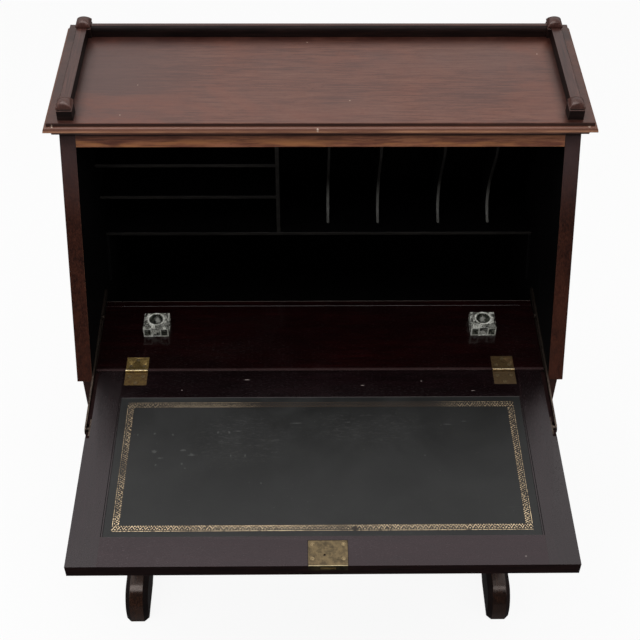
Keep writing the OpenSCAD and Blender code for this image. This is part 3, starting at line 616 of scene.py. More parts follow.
# Inner wood: near-black painted shade, as deep in the case
INSIDE_SHADED = dict(dark=(0.0004, 0.0003, 0.0004), mid=(0.0009, 0.0007, 0.0009), light=(0.002, 0.0016, 0.0018),
              rough=0.5, shine=0.12, wear=(0.02, 0.018, 0.018), wear_share=0.3)
EDGES = dict(dark=(0.006, 0.005, 0.005), mid=(0.013, 0.012, 0.011), light=(0.03, 0.027, 0.024),
             rough=0.3, shine=0.4, wear=(0.07, 0.06, 0.055), wear_share=0.6)
FLOOR = dict(dark=(0.002, 0.0003, 0.0004), mid=(0.0048, 0.0007, 0.0008), light=(0.012, 0.0014, 0.0016),
             rough=0.18, coat=0.4, coat_rough=0.08, wear=(0.06, 0.025, 0.022), wear_share=0.3)
FALL = dict(dark=(0.0015, 0.0006, 0.0007), mid=(0.0038, 0.0015, 0.0018), light=(0.009, 0.0036, 0.0045),
            rough=0.21, shine=0.74, wear=(0.07, 0.04, 0.036), wear_share=0.35)
FALL_EDGE = dict(dark=(0.003, 0.001, 0.001), mid=(0.009, 0.003, 0.003), light=(0.02, 0.007, 0.006),
                 rough=0.55, shine=0.06, wear=(0.06, 0.03, 0.03), wear_share=0.3)
BASE = dict(dark=(0.004, 0.0015, 0.001), mid=(0.016, 0.0055, 0.003), light=(0.05, 0.018, 0.008),
            rough=0.17, shine=0.55, tint=(1.0, 0.86, 0.8), wear=(0.06, 0.03, 0.02), wear_share=0.2)


# Metal, gold, glass and leather

def metal(name, colour, dull, rough=0.34, patch=90.0, right=None):
    """Aged metal: clean and tarnished patches, fine scratches, brighter edges; duller on the right."""
    material, tree, shader, place = start_material(name)
    edge = use_group(tree, EDGE, Vector=place, Radius=0.0008, Breakup=200.0)
    marks = use_group(tree, SCUFF, Vector=place, Scale=6.0)
    cloud = ramp(tree, noise(tree, place, patch, 6.0, 0.7), 0.35, 0.68)
    speck = ramp(tree, noise(tree, place, 700.0, 3.0, 0.6), 0.56, 0.7)
    tarnish = most(tree, cloud, times(tree, speck, 0.8))
    base = mix_color(tree, tarnish, colour, dull)
    bright = tuple(min(1.0, c * 1.7) for c in colour)
    base = mix_color(tree, times(tree, edge.outputs["Mask"], 0.8), base, bright)
    if right is not None:
        side = times(tree, ramp(tree, axis_of(tree, place, "X"), 0.0, 0.1), 0.62)
        base = mix_color(tree, side, base, right)
    gloss = plus(tree, rough, times(tree, tarnish, 0.2), times(tree, marks.outputs["Scratches"], 0.2))
    feed_all(tree, shader, {"Base Color": base, "Metallic": 1.0, "Roughness": gloss})
    return material


def gold_leaf(name):
    """Blocked gold, rubbed thin in the middle of the back line and here and there."""
    material, tree, shader, place = start_material(name)
    y = axis_of(tree, place, "Y")
    off_middle = math_node(tree, "ABSOLUTE", minus(tree, axis_of(tree, place, "X"), 0.04))
    back = times(tree, ramp(tree, y, HINGE_Y - 90 * MM, HINGE_Y - 75 * MM), ramp(tree, off_middle, 0.2, 0.1))
    patch = ramp(tree, noise(tree, place, 16.0, 5.0, 0.65), 0.42, 0.72)
    gap = spots(tree, place, [(43, -284, 7, 6)], WRITING_Z)
    fleck = ramp(tree, noise(tree, place, 520.0, 3.0, 0.7), 0.46, 0.6)
    worn = most(tree, times(tree, patch, 0.7), times(tree, back, 0.8), gap, times(tree, fleck, 0.9))
    farther = times(tree, ramp(tree, y, HINGE_Y - 262 * MM, HINGE_Y - 235 * MM), 0.32)
    worn = math_node(tree, "ADD", worn, farther, clamp=True)
    colour = mix_color(tree, worn, (1.0, 0.78, 0.5), (0.1, 0.07, 0.05))
    feed_all(tree, shader, {"Base Color": colour, "Metallic": 1.0,
                            "Roughness": scaled(tree, worn, 0.2, 0.42)})
    return material


def well_glints():
    """Places and sizes of the painted glints deep in the inkwells' wells, as for other small marks."""
    right_of_middle, behind_middle = 1, 9.5
    half_long, half_wide = 5, 4
    glints = []
    for side in ("left", "right"):
        low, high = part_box(f"inkwell_{side}")
        middle = (low + high) / 2
        glints.append((middle.x / MM + right_of_middle, (middle.y - HINGE_Y) / MM + behind_middle,
                       half_long, half_wide))
    return glints


def glass(name, pale, deep, glints=()):
    """Cut glass with painted reflections: pale and deep facets, painted highlights on its edges and painted
    glints where given.
    """
    material, tree, shader, place = start_material(name)
    facet = add(tree, "ShaderNodeTexVoronoi", feature="F1")
    feed_all(tree, facet, {"Vector": place, "Scale": 190.0})
    cell = ramp(tree, axis_of(tree, facet.outputs["Color"], "X"), 0.35, 0.75)
    swirl = ramp(tree, noise(tree, place, 240.0, 3.0, 0.7, 2.0), 0.4, 0.6)
    shade = math_node(tree, "POWER", scaled(tree, cell, 0.55, times(tree, swirl, 0.45)), 1.6)
    edge = use_group(tree, EDGE, Vector=place, Radius=0.0017, Breakup=230.0)
    base = mix_color(tree, shade, deep, pale)
    base = mix_color(tree, edge.outputs["Mask"], base, (1.0, 1.0, 0.95))
    if glints:
        base = mix_color(tree, spots(tree, place, glints, WRITING_Z + 8 * MM), base, (1.0, 1.0, 0.92))
    feed_all(tree, shader, {"Base Color": base, "Roughness": 0.05, "Transmission Weight": 0.3, "IOR": 1.52})
    return material


LEATHER_MARKS = [
    (-36.4, -101.6, 9, 0.9), (-119.4, -115.9, 7, 1.1), (-182.4, -158.8, 9, 1.0), (-226.9, -163.9, 5, 1.5),
    (38.6, -100.1, 5, 0.9), (182.6, -104.7, 7, 0.9), (206.3, -99.2, 5, 1.1), (145.4, -160.8, 1.5, 1.2),
    (-84.3, -208.1, 1.5, 1.4), (-190.7, -181.6, 1.6, 1.3), (60, -150, 1.0, 0.8), (-20, -240, 1.0, 0.8),
    (-148, -118, 1.6, 3.0), (-132, -118, 2.0, 3.2), (-196, -150, 5, 2.2), (-183, -158, 4, 3.0),
    (-236, -152, 4, 3.6), (-196, -174, 2.0, 2.4), (-232, -176, 1.6, 2.0), (-212, -122, 1.8, 2.2),
    (-238, -120, 1.8, 2.2), (-262, -122, 1.2, 2.0), (-108, -160, 1.4, 3.0), (-128, -160, 1.2, 2.4)]
CREASED_ZONES = [(-115, -128, 90, 62), (60, -110, 120, 40)]


def leather(name):
    """Black-green desk leather with pebbled grain, pale scuffs, creases and specks."""
    material, tree, shader, place = start_material(name)
    patch = ramp(tree, noise(tree, place, 6.0, 6.0, 0.62, 0.5), 0.35, 0.75)
    marks = use_group(tree, SCUFF, Vector=place, Scale=1.6)
    fleck = ramp(tree, noise(tree, place, 260.0, 2.0, 0.5), 0.72, 0.78)
    turned_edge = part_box("leather_inset")[1].y
    edge = ramp(tree, axis_of(tree, place, "Y"), turned_edge - 1.6 * MM, turned_edge - 0.8 * MM)
    crease = patches(tree, place, (50, 260, 60), 0.5, 0.66, rough=0.7, distortion=2.2, turn=0.35)
    zone = spots(tree, place, CREASED_ZONES, WRITING_Z)
    scuffs = spots(tree, place, LEATHER_MARKS, WRITING_Z)
    base = mix_color(tree, patch, (0.0065, 0.0068, 0.0066), (0.0138, 0.0142, 0.014))
    for mask, shade in ((times(tree, marks.outputs["Haze"], 0.15), (0.03, 0.03, 0.028)),
                        (times(tree, fleck, 0.25), (0.1, 0.095, 0.09)),
                        (times(tree, marks.outputs["Scratches"], 0.15), (0.1, 0.1, 0.095)),
                        (times(tree, edge, 0.8), (0.075, 0.068, 0.068)),
                        (times(tree, scuffs, 0.34), (0.13, 0.13, 0.125)),
                        (times(tree, zone, crease, 0.22), (0.085, 0.085, 0.082))):
        base = mix_color(tree, mask, base, shade)
    feed_all(tree, shader, {"Base Color": base, "Roughness": scaled(tree, patch, 0.16, 0.34),
                            "Specular IOR Level": 0.42})
    set_bump(tree, shader, noise(tree, place, 900.0, 3.0, 0.6), 0.35, 0.0002)
    return material


def joint_dirt_and_shade(name):
    """Old wax and dirt in a joint; the same dark colour is also painted shade in the gap round the lock
    plate.
    """
    material, tree, shader, place = start_material(name)
    tone = mix_color(tree, noise(tree, place, 300.0, 3.0), (0.002, 0.0016, 0.0016), (0.008, 0.006, 0.006))
    feed_all(tree, shader, {"Base Color": tone, "Roughness": 0.8, "Specular IOR Level": 0.1})
    return material


finishes = {
    "top_board": wood("top_wood_board", "x", figure=0.6, **TOP,
                      layers=(board_tone, board_warmth, board_shade_and_dust, board_thumb_shade, board_round, board_flat_wear_and_highlight,
                              board_marks)),
    "top_rail_x": wood("top_wood_rail_across", "x", **GALLERY),
    "top_rail_y": wood("top_wood_rail_back", "y", **GALLERY),
    "top_post": wood("top_wood_post", "z", figure=0.4, **GALLERY),
    "top_shade": wood("top_wood_shaded", "x", **SHADE),
    "case_z": wood("case_wood_upright", "z", figure=0.7, layers=(red_patches, case_high_reflection, shadow_under_top),
                   **CASE),
    "case_x": wood("case_wood_across", "x", figure=0.6, **CASE),
    "case_rail": wood("case_wood_rail", "x", figure=0.7, layers=(golden_patches, shadow_under_top), **RAIL),
    "inside_x": wood("inner_wood_across", "x", **INSIDE_SHADED),
    "inside_z": wood("inner_wood_upright", "z", **INSIDE_SHADED),
    "inside_edge": wood("inner_wood_edge", "x", **EDGES),
    "divider_edge": wood("inner_wood_divider_edge", "z", layers=(divider_foot_highlight,), **EDGES),
    "floor_x": wood("floor_wood", "x", layers=(floor_rub,), **FLOOR),
    "floor_rim": wood("floor_wood_rim", "x", layers=(rim_edge_highlight,), **FLOOR),
    "fall_x": wood("fall_wood_across", "x", tint=(1.0, 0.82, 0.87), layers=(fall_marks,), **FALL),
    "fall_hinge": wood("fall_wood_hinge_rail", "x", tint=(1.0, 0.82, 0.87), relief=0.04,
                       layers=(fall_marks,), **dict(FALL, shine=0.5)),
    "fall_y": wood("fall_wood_back", "y", tint=(1.0, 0.9, 0.93), **FALL),
    "fall_edge": wood("fall_wood_edge", "x", **FALL_EDGE),
    "fall_joint": joint_dirt_and_shade("fall_wood_joint"),
    "base_x": wood("base_wood_across", "x", **BASE),
    "base_y": wood("base_wood_back", "y", **BASE),
    "base_z": wood("base_wood_upright", "z", **BASE),
    "brass": metal("aged_brass", (0.4, 0.28, 0.1), (0.12, 0.075, 0.03), 0.38, 210.0, (0.1, 0.056, 0.038)),
    "brass_fall": metal("aged_brass_fall", (0.27, 0.18, 0.07), (0.1, 0.055, 0.03), 0.4, 210.0,
                        (0.13, 0.09, 0.055)),
    "brass_knuckle": metal("aged_brass_knuckle", (0.85, 0.72, 0.48), (0.4, 0.3, 0.16), 0.3, 200.0),
    "brass_lock": metal("aged_brass_lock", (0.21, 0.155, 0.085), (0.1, 0.078, 0.05), 0.4, 130.0),
    "brass_lip": metal("aged_brass_lip", (0.07, 0.055, 0.02), (0.02, 0.015, 0.008), 0.4, 90.0),
    "brass_line": metal("aged_brass_line", (0.8, 0.68, 0.42), (0.5, 0.38, 0.2), 0.3, 200.0),
    "brass_screw": metal("aged_brass_screw", (0.38, 0.29, 0.16), (0.08, 0.055, 0.035), 0.34, 420.0),
    "gold": gold_leaf("gold_tooling"),
    "steel": metal("stay_steel", (0.13, 0.1, 0.08), (0.04, 0.03, 0.025)),
    # Glass: painted reflections; the ring finish is a painted highlight, the well finish painted shade with
    # painted glints.
    "glass": glass("clear_glass", (0.8, 0.8, 0.72), (0.03, 0.031, 0.025)),
    "glass_ring": glass("clear_glass_ring", (1.0, 1.0, 0.93), (0.4, 0.4, 0.34)),
    "glass_well": glass("clear_glass_well", (0.2, 0.21, 0.17), (0.006, 0.007, 0.004), well_glints()),
    "leather": leather("green_leather"),
}


# Making of pieces

KNUCKLE_REACH = 1.3 * MM
LOOKS_ALONG = 0.3


def body_at(node):
    """Body that a CAD node rides on."""
    return body_of(frame["nodes"][node])[0]


def only(geometry, kind):
    """Members of a bmesh operator's result that are of one kind."""
    return [g for g in geometry if isinstance(g, kind)]


def finish_piece(name, bm, finish, body, stands_for=(), smooth=32.0, other=None):
    """Piece from a bmesh, with its finish, body and the nodes that it stands for."""
    mesh = bpy.data.meshes.new(name)
    bm.to_mesh(mesh)
    bm.free()
    mesh.materials.append(finishes[finish])
    if other is not None:
        mesh.materials.append(finishes[other])
    for face in mesh.polygons:
        face.use_smooth = True
    mesh.set_sharp_from_angle(angle=math.radians(smooth))
    piece = bpy.data.objects.new(name, mesh)
    bpy.context.scene.collection.objects.link(piece)
    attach(piece, body)
    if stands_for:
        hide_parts(*stands_for)
    return piece


def merged_copy(node):
    """Bmesh of a CAD node with its triangles joined into whole faces."""
    bm = bmesh.new()
    bm.from_mesh(frame["nodes"][node].data)
    bmesh.ops.remove_doubles(bm, verts=bm.verts, dist=1e-5)
    bmesh.ops.dissolve_limit(bm, angle_limit=math.radians(0.5), verts=bm.verts, edges=bm.edges)
    return bm


def round_edges(piece, width, segments=2, angle=30.0):
    """Bevel modifier on the sharp edges of a piece."""
    bevel = piece.modifiers.new("rounded_edges", "BEVEL")
    bevel.width = width
    bevel.segments = segments
    bevel.limit_method = "ANGLE"
    bevel.angle_limit = math.radians(angle)
    bevel.harden_normals = True


def soften(node, finish, width, segments=2, angle=30.0, other=None, facing=(), knuckle=None):
    """The node's shape with rounded edges; faces that look one of the ways given in facing, or that lie
    on top of a hinge's knuckle, take the other finish."""
    bm = merged_copy(node)
    for face in bm.faces:
        turned = any(face.normal.dot(Vector(way)) > LOOKS_ALONG for way in facing)
        on_knuckle = knuckle is not None and abs(face.calc_center_median().y - knuckle) < KNUCKLE_REACH
        if turned or (on_knuckle and face.normal.z > 0.2):
            face.material_index = 1
    piece = finish_piece(node + "_finished", bm, finish, body_at(node), [node], smooth=angle, other=other)
    round_edges(piece, width, segments, angle)


def box_mesh(bm, low, high):
    """Closed box between two corners; returns its vertices."""
    made = bmesh.ops.create_cube(bm, size=1.0)["verts"]
    size = [high[i] - low[i] for i in range(3)]
    centre = [(high[i] + low[i]) / 2 for i in range(3)]
    bmesh.ops.scale(bm, vec=size, verts=made)
    bmesh.ops.translate(bm, vec=centre, verts=made)
    return made


# Top board: hollow under the edge, flat, thumb moulding, quirk, flat top

HOLLOW = 9.5
THUMB_IN = 3.8
THUMB_UP = 5.1
ROUND_STEPS = 8


def edge_levels():
    """Inset and height of the edge, from the underside up, in metres."""
    turns = [math.pi / 2 * k / ROUND_STEPS for k in range(ROUND_STEPS + 1)]
    hollow = [(HOLLOW * math.cos(t), HOLLOW * math.sin(t)) for t in turns]
    flat = [(0.0, 10.4), (0.15, 11.2)]
    thumb = [(0.3 + THUMB_IN * (1 - math.cos(t)), 11.5 + THUMB_UP * math.sin(t)) for t in turns]
    quirk = [(4.6, 15.6), (4.9, 15.6), (5.2, 21.1), (5.8, 22.0)]
    return [(inset * MM, height * MM) for inset, height in hollow + flat + thumb + quirk]


def make_top_board():
    """Moulded top board: its outline is drawn up level by level and set in on three sides."""
    low, high = BOARD_LOW, BOARD_HIGH
    levels = edge_levels()
    bm = bmesh.new()
    verts = bmesh.ops.create_grid(bm, x_segments=1, y_segments=1, size=0.5)["verts"]
    face = bm.faces[:][0]

    def place(corners, inset, height):
        for v in corners:
            left = v.co.x < 0
            v.co.x = low.x + inset if left else high.x - inset
            v.co.y = low.y + inset if v.co.y < (low.y + high.y) / 2 else high.y
            v.co.z = low.z + height

    for v in verts:
        v.co.y = low.y if v.co.y < 0 else high.y
    place(verts, *levels[0])
    for inset, height in levels[1:]:
        made = bmesh.ops.extrude_face_region(bm, geom=[face])
        face = only(made["geom"], BMFace)[0]
        place(face.verts, inset, height)
    bmesh.ops.holes_fill(bm, edges=[e for e in bm.edges if e.is_boundary])
    bmesh.ops.recalc_face_normals(bm, faces=bm.faces)
    finish_piece("moulded_top_board", bm, "top_board", "case", ["top_board"], smooth=22)


# Gallery

POST_HALF = 21.5 * MM / 2
POST_DOME = 8 * MM
POST_EAVES = 20 * MM
POST_SHADE_TOP = 17 * MM
POST_RINGS = [(1.0, 17.6), (0.985, 17.1), (0.91, 16.7), (0.905, 15.4), (0.985, 15.0), (1.0, 14.5),
              (1.0, 1.0), (1.02, 0.0)]


def make_post(name, node, x, y):
    """Square post with a narrow neck and a domed cap; its rings give share of width and height in mm."""
    base_z = BOARD_HIGH.z
    bm = bmesh.new()
    bmesh.ops.create_grid(bm, x_segments=12, y_segments=12, size=POST_HALF)
    for v in bm.verts:
        across = max(0.0, 1 - (v.co.x / POST_HALF) ** 2) ** 0.5
        along = max(0.0, 1 - (v.co.y / POST_HALF) ** 2) ** 0.5
        v.co.z = base_z + POST_EAVES + POST_DOME * across * along
    rim = [e for e in bm.edges if e.is_boundary]
    scale = 1.0
    for share, height in POST_RINGS:
        made = bmesh.ops.extrude_edge_only(bm, edges=rim)["geom"]
        rim = only(made, BMEdge)
        for v in only(made, BMVert):
            v.co.x *= share / scale
            v.co.y *= share / scale
            v.co.z = base_z + height * MM
        scale = share
    bmesh.ops.contextual_create(bm, geom=rim)
    bmesh.ops.translate(bm, vec=(x, y, 0), verts=bm.verts)
    bmesh.ops.recalc_face_normals(bm, faces=bm.faces)
    for face in bm.faces:
        if abs(face.normal.z) < 0.3 and face.calc_center_median().z < base_z + POST_SHADE_TOP:
            face.material_index = 1
    finish_piece(name, bm, "top_post", "case", [node], smooth=50, other="top_shade")


def make_gallery():
    """Four capped posts, the round-topped back rail and two flat side rails."""
    for side, inward in (("left", RIGHT), ("right", LEFT)):
        for end in ("front", "back"):
            node = f"gallery_post_{end}_{side}"
            low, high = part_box(node)
            centre = (low + high) / 2
            make_post(f"capped_post_{end}_{side}", node, centre.x, centre.y)
        soften(f"gallery_rail_{side}", "top_rail_y", 0.8 * MM, 3, other="top_shade", facing=[inward])
    soften("gallery_back_rail", "top_rail_x", 0.6 * MM, other="top_shade", facing=[FRONT])


# Case, pigeonholes, floor and well

def make_case():
    """Sides, case top, the well box, the bearers under the floor and the back panel."""
    # Each row: node, finish, rounding in mm, the other finish and the ways its faces look; the inner
    # finishes are painted shade.
    boards = (("case_side_left", "case_z", 0.9, "inside_z", [RIGHT]),
              ("case_side_right", "case_z", 0.9, "inside_z", [LEFT]),
              ("case_top", "case_rail", 0.7, "inside_x", [DOWN]),
              ("well_side_left", "case_x", 0.8, "inside_x", [RIGHT]),
              ("well_side_right", "case_x", 0.8, "inside_x", [LEFT]),
              ("well_front", "case_x", 0.8, "inside_x", [BACK]),
              ("well_back", "case_x", 0.8, "inside_x", [FRONT]),
              ("well_bottom", "inside_x", 0.6, None, []),
              ("floor_bearers", "inside_x", 0.6, None, []),
              ("case_back", "inside_z", 0.6, "case_x", [BACK]))
    for node, finish, worn_mm, other, facing in boards:
        soften(node, finish, worn_mm * MM, other=other, facing=facing)


def make_pigeonholes():
    """Shelves, upright and shaped dividers in painted shade; their front edges are lighter."""
    for node in ("main_shelf", "middle_shelf", "upper_shelf"):
        soften(node, "inside_x", 0.6 * MM, other="inside_edge", facing=[FRONT])
    soften("upright_divider", "inside_z", 0.6 * MM, other="inside_edge", facing=[FRONT])
    soften("shelf_ends", "inside_z", 0.6 * MM)
    for number in range(1, 5):
        soften(f"shaped_divider_{number}", "inside_z", 1.2 * MM, 3, other="divider_edge", facing=[FRONT])


def make_writing_floor():
    """Polished floor board and the rim strip along its back edge."""
    soften("floor_board", "floor_x", 0.5 * MM)
    soften("floor_rim", "floor_rim", 0.7 * MM)


# Fall and leather

LEATHER_MARGIN = 2.5 * MM
MARGIN_PLAY = 0.15 * MM
MARGIN_DROP = 0.05 * MM
JOINT_LINE_W = 0.9 * MM
LINE_LIFT = 0.02 * MM
STRIP_T = 0.12 * MM


def make_fall():
    """Stiles, rails and panel; the front edge is dull and dark."""
    for node in ("fall_stile_left", "fall_stile_right"):
        soften(node, "fall_y", 0.4 * MM, other="fall_edge", facing=[FRONT])
    soften("fall_front_rail", "fall_x", 0.4 * MM, other="fall_edge", facing=[FRONT])
    soften("fall_hinge_rail", "fall_hinge", 0.4 * MM)
    soften("fall_panel", "fall_x", 0.4 * MM)


def flat_strip(bm, a, b, width, z):
    """Thin bar from a to b, its middle at height z."""
    ax, ay = a
    bx, by = b
    half = Vector((math.hypot(bx - ax, by - ay), width, STRIP_T)) / 2
    made = box_mesh(bm, -half, half)
    turn = Matrix.Rotation(math.atan2(by - ay, bx - ax), 3, "Z")
    bmesh.ops.rotate(bm, verts=made, cent=(0, 0, 0), matrix=turn)
    bmesh.ops.translate(bm, vec=((ax + bx) / 2, (ay + by) / 2, z), verts=made)


def make_leather():
    """Leather between two thin wooden margins with dark joint lines."""
    low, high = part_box("leather_inset")
    left_in = low.x + LEATHER_MARGIN
    right_in = high.x - LEATHER_MARGIN
    bm = bmesh.new()
    box_mesh(bm, (left_in, low.y, low.z), (right_in, high.y, high.z))
    round_edges(finish_piece("leather", bm, "leather", "fall", ["leather_inset"]), 0.4 * MM)
    for side, x0, x1, joint in (("left", low.x, left_in, low.x), ("right", right_in, high.x, high.x)):
        bm = bmesh.new()
        box_mesh(bm, (x0 + MARGIN_PLAY, low.y, low.z), (x1 - MARGIN_PLAY, high.y, WRITING_Z - MARGIN_DROP))
        round_edges(finish_piece(f"leather_margin_{side}", bm, "fall_y", "fall"), 0.3 * MM)
        bm = bmesh.new()
        flat_strip(bm, (joint, low.y), (joint, high.y), JOINT_LINE_W, WRITING_Z + LINE_LIFT)
        finish_piece(f"leather_joint_line_{side}", bm, "fall_joint", "fall")


# Gold tooling on the leather; a braid's strands and buds are in shares of its pitch along and mm across

TOOL_OUT_X = 281.4 * MM
TOOL_BACK = 62.2 * MM
TOOL_FRONT = 286.6 * MM
TOOL_W = 9.8 * MM
TOOL_SINK = 0.03 * MM
TOOL_PITCH = 7.4 * MM
LINE_W = 0.7 * MM
STRAND_W = 0.95 * MM
STRANDS = ((0.0, 2.2, 0.62, 9.0), (0.62, 9.0, 1.0, 4.6))
BUD_W = 1.4 * MM
BUD_HALF = 0.8 * MM
BUDS = ((0.6, 3.0), (0.12, 8.4))


def tooling_run(bm, start, end, inward, z):
    """Outer line, a braid of thin strands and small buds along one side of the band."""
    sx, sy = start
    ex, ey = end
    length = math.hypot(ex - sx, ey - sy)
    ux, uy = (ex - sx) / length, (ey - sy) / length
    count = max(1, round(length / TOOL_PITCH))
    pitch = length / count

    def at(along, across):
        return (sx + ux * along + inward[0] * across, sy + uy * along + inward[1] * across)

    flat_strip(bm, at(0, LINE_W / 2), at(length, LINE_W / 2), LINE_W, z)
    for k in range(count):
        base = k * pitch
        for a0, c0, a1, c1 in STRANDS:
            flat_strip(bm, at(base + a0 * pitch, c0 * MM), at(base + a1 * pitch, c1 * MM), STRAND_W, z)
        for share, across in BUDS:
            centre = base + share * pitch
            flat_strip(bm, at(centre - BUD_HALF, across * MM), at(centre + BUD_HALF, across * MM), BUD_W, z)


def make_tooling():
    """Gold band round the leather: an outer line with a braid inside it."""
    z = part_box("leather_inset")[1].z + STRIP_T / 2 - TOOL_SINK
    x = TOOL_OUT_X
    back = HINGE_Y - TOOL_BACK
    front = HINGE_Y - TOOL_FRONT
    bm = bmesh.new()
    tooling_run(bm, (-x, front), (x, front), (0, 1), z)
    tooling_run(bm, (x, back), (-x, back), (0, -1), z)
    tooling_run(bm, (-x, back - TOOL_W), (-x, front + TOOL_W), (1, 0), z)
    tooling_run(bm, (x, front + TOOL_W), (x, back - TOOL_W), (-1, 0), z)
    bmesh.ops.recalc_face_normals(bm, faces=bm.faces)
    finish_piece("gold_tooling", bm, "gold", "fall")


# Metalwork

SCREW_R = 2.7 * MM
SCREW_SEAT = 0.3 * MM
SCREW_RISE = 0.35 * MM
SCREW_TURN = 3.1
SLOT_SHARE = 0.16
TIP_SHARE = 0.5
NECK_SHARE = 0.98
HINGE_HALF = 16.5 * MM
HINGE_SCREWS = ((-10, 10.5), (10, 10.5), (0, 23))
KNUCKLE_OFF = 0.35 * MM


def place_screw(bm, verts, x, y, z, turn):
    """Turns a screw's part about its axis and puts it in its hole."""
    bmesh.ops.rotate(bm, verts=verts, cent=(0, 0, 0), matrix=Matrix.Rotation(turn, 3, "Z"))
    bmesh.ops.translate(bm, vec=(x, y, z), verts=verts)


def slotted_screw(bm, x, y, z, turn, length):
    """Countersunk screw head with a slot, on its shank."""
    slot = SCREW_R * SLOT_SHARE
    for half in (1, -1):
        made = bmesh.ops.create_circle(bm, cap_ends=True, segments=20, radius=SCREW_R)["verts"]
        faces = list({f for v in made for f in v.link_faces})
        edges = list({e for v in made for e in v.link_edges})
        cut = bmesh.ops.bisect_plane(bm, geom=made + edges + faces, plane_co=(0, slot * half, 0),
                                     plane_no=(0, -half, 0), clear_outer=True)
        kept = only(cut["geom"], BMFace)
        raised = only(bmesh.ops.extrude_face_region(bm, geom=kept)["geom"], BMVert)
        bmesh.ops.translate(bm, vec=(0, 0, SCREW_RISE), verts=raised)
        place_screw(bm, list({v for f in kept for v in f.verts} | set(raised)), x, y, z, turn)
    made = bmesh.ops.create_cone(bm, cap_ends=True, segments=16, radius1=SCREW_R * TIP_SHARE,
                                 radius2=SCREW_R * NECK_SHARE, depth=length)["verts"]
    bmesh.ops.translate(bm, vec=(0, 0, -length / 2 + LINE_LIFT), verts=made)
    place_screw(bm, made, x, y, z, turn)


def make_screws(name, node, places, length, draw):
    """Slotted screws seated in their holes, each turned its own way."""
    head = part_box(node)[1].z - SCREW_SEAT
    bm = bmesh.new()
    for x, y in places:
        slotted_screw(bm, x, y, head, draw.uniform(0, SCREW_TURN), length)
    bmesh.ops.recalc_face_normals(bm, faces=bm.faces)
    finish_piece(name, bm, "brass_screw", body_at(node), [node])


def make_hinges():
    """Leaves with their knuckles, pins and three slotted screws in each leaf."""
    for node, finish in (("hinge_floor_leaves", "brass"), ("hinge_fall_leaves", "brass_fall")):
        # The tops of the knuckles take a painted highlight.
        soften(node, finish, 0.22 * MM, other="brass_knuckle", knuckle=HINGE_Y + KNUCKLE_OFF)
    soften("hinge_pins", "brass", 0.3 * MM)
    draw = random.Random(7)
    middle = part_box("hinge_floor_leaves")[1].x - HINGE_HALF
    for leaf, toward in (("floor", 1), ("fall", -1)):
        places = [(hinge_x + step * MM, HINGE_Y + toward * out * MM)
                  for hinge_x in (-middle, middle) for step, out in HINGE_SCREWS]
        make_screws(f"hinge_{leaf}_screw_heads", f"hinge_{leaf}_screws", places, 8 * MM, draw)


def make_lock():
    """Lock plate with its lip and screws, the bolt, the keyhole plate, the strike and the lock body."""
    # The lip's front face takes a painted dark reflection.
    soften("lock_plate", "brass_lock", 0.3 * MM, other="brass_lip", facing=[FRONT])
    for node in ("lock_bolt", "key_escutcheon", "lock_strike"):
        soften(node, "brass", 0.35 * MM)
    soften("lock_case", "steel", 0.5 * MM)
    low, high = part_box("lock_screws")
    places = [(x, y) for x in (low.x + SCREW_R, high.x - SCREW_R)
              for y in (low.y + SCREW_R, high.y - SCREW_R)]
    make_screws("lock_plate_screws", "lock_screws", places, 6 * MM, random.Random(3))


def make_lock_plate_shade_line():
    """Painted shade in the gap round the lock plate, as a dark line open at the lip."""
    low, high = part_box("lock_plate")
    half = 0.3 * MM
    lip = 0.4 * MM
    z = WRITING_Z + LINE_LIFT
    bm = bmesh.new()
    for x in (low.x - half, high.x + half):
        flat_strip(bm, (x, low.y + lip), (x, high.y + 2 * half), 2 * half, z)
    flat_strip(bm, (low.x, high.y + half), (high.x, high.y + half), 2 * half, z)
    finish_piece("lock_plate_dirt_line", bm, "fall_joint", "fall")


def make_lock_plate_edge():
    """Painted highlight along the rubbed upper edge of the lock plate's lip."""
    low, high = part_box("lock_plate")
    end_in = 0.3 * MM
    proud = 0.05 * MM
    width = 0.9 * MM
    below = 0.7 * MM
    above = 0.08 * MM
    bm = bmesh.new()
    box_mesh(bm, (low.x + end_in, low.y - proud, WRITING_Z - below),
             (high.x - end_in, low.y + width, WRITING_Z + above))
    round_edges(finish_piece("lock_plate_rubbed_edge", bm, "brass_line", "fall"), 0.3 * MM)


NOTCH_W = 5.6 * MM
NOTCH_L = 128 * MM
NOTCH_H = 12.9 * MM
PLATE_T = 2 * MM
PACKING_DROP = 0.4 * MM
PACKING_PLAY = 0.1 * MM
PLATE_PLAY = 0.3 * MM
HINGE_PLAY = 4 * MM
BAR_END_PLAY = 1.2 * MM
BAR_SWING = 14 * MM


def make_stays():
    """Flat stay bars, pivot plates, screws, studs and the packing beside the bars."""
    for node in ("stay_bar_left", "stay_bar_right", "stay_plates", "stay_plate_screws", "stay_studs"):
        soften(node, "steel", 0.3 * MM)
    side_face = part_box("fall_stile_right")[1].x
    plate_low, plate_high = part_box("stay_plates")
    bar_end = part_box("stay_bar_right")[0].y
    plate_front = plate_low.y - PLATE_PLAY
    plate_back = plate_high.y + PLATE_PLAY
    wall = side_face - NOTCH_W
    blocks = ((wall, plate_back, HINGE_Y - HINGE_PLAY),
              (wall, HINGE_Y - NOTCH_L, plate_front),
              (wall + PLATE_T, plate_front, bar_end - BAR_END_PLAY),
              (wall + PLATE_T, bar_end + BAR_SWING, plate_back))
    for side, sign in (("left", -1), ("right", 1)):
        bm = bmesh.new()
        for x0, y0, y1 in blocks:
            ends = sorted((sign * (x0 + PACKING_PLAY), sign * side_face))
            box_mesh(bm, (ends[0], y0, WRITING_Z - NOTCH_H), (ends[1], y1, WRITING_Z - PACKING_DROP))
        round_edges(finish_piece(f"stay_groove_packing_{side}", bm, "fall_edge", "fall"), 0.3 * MM)


# Inkwells

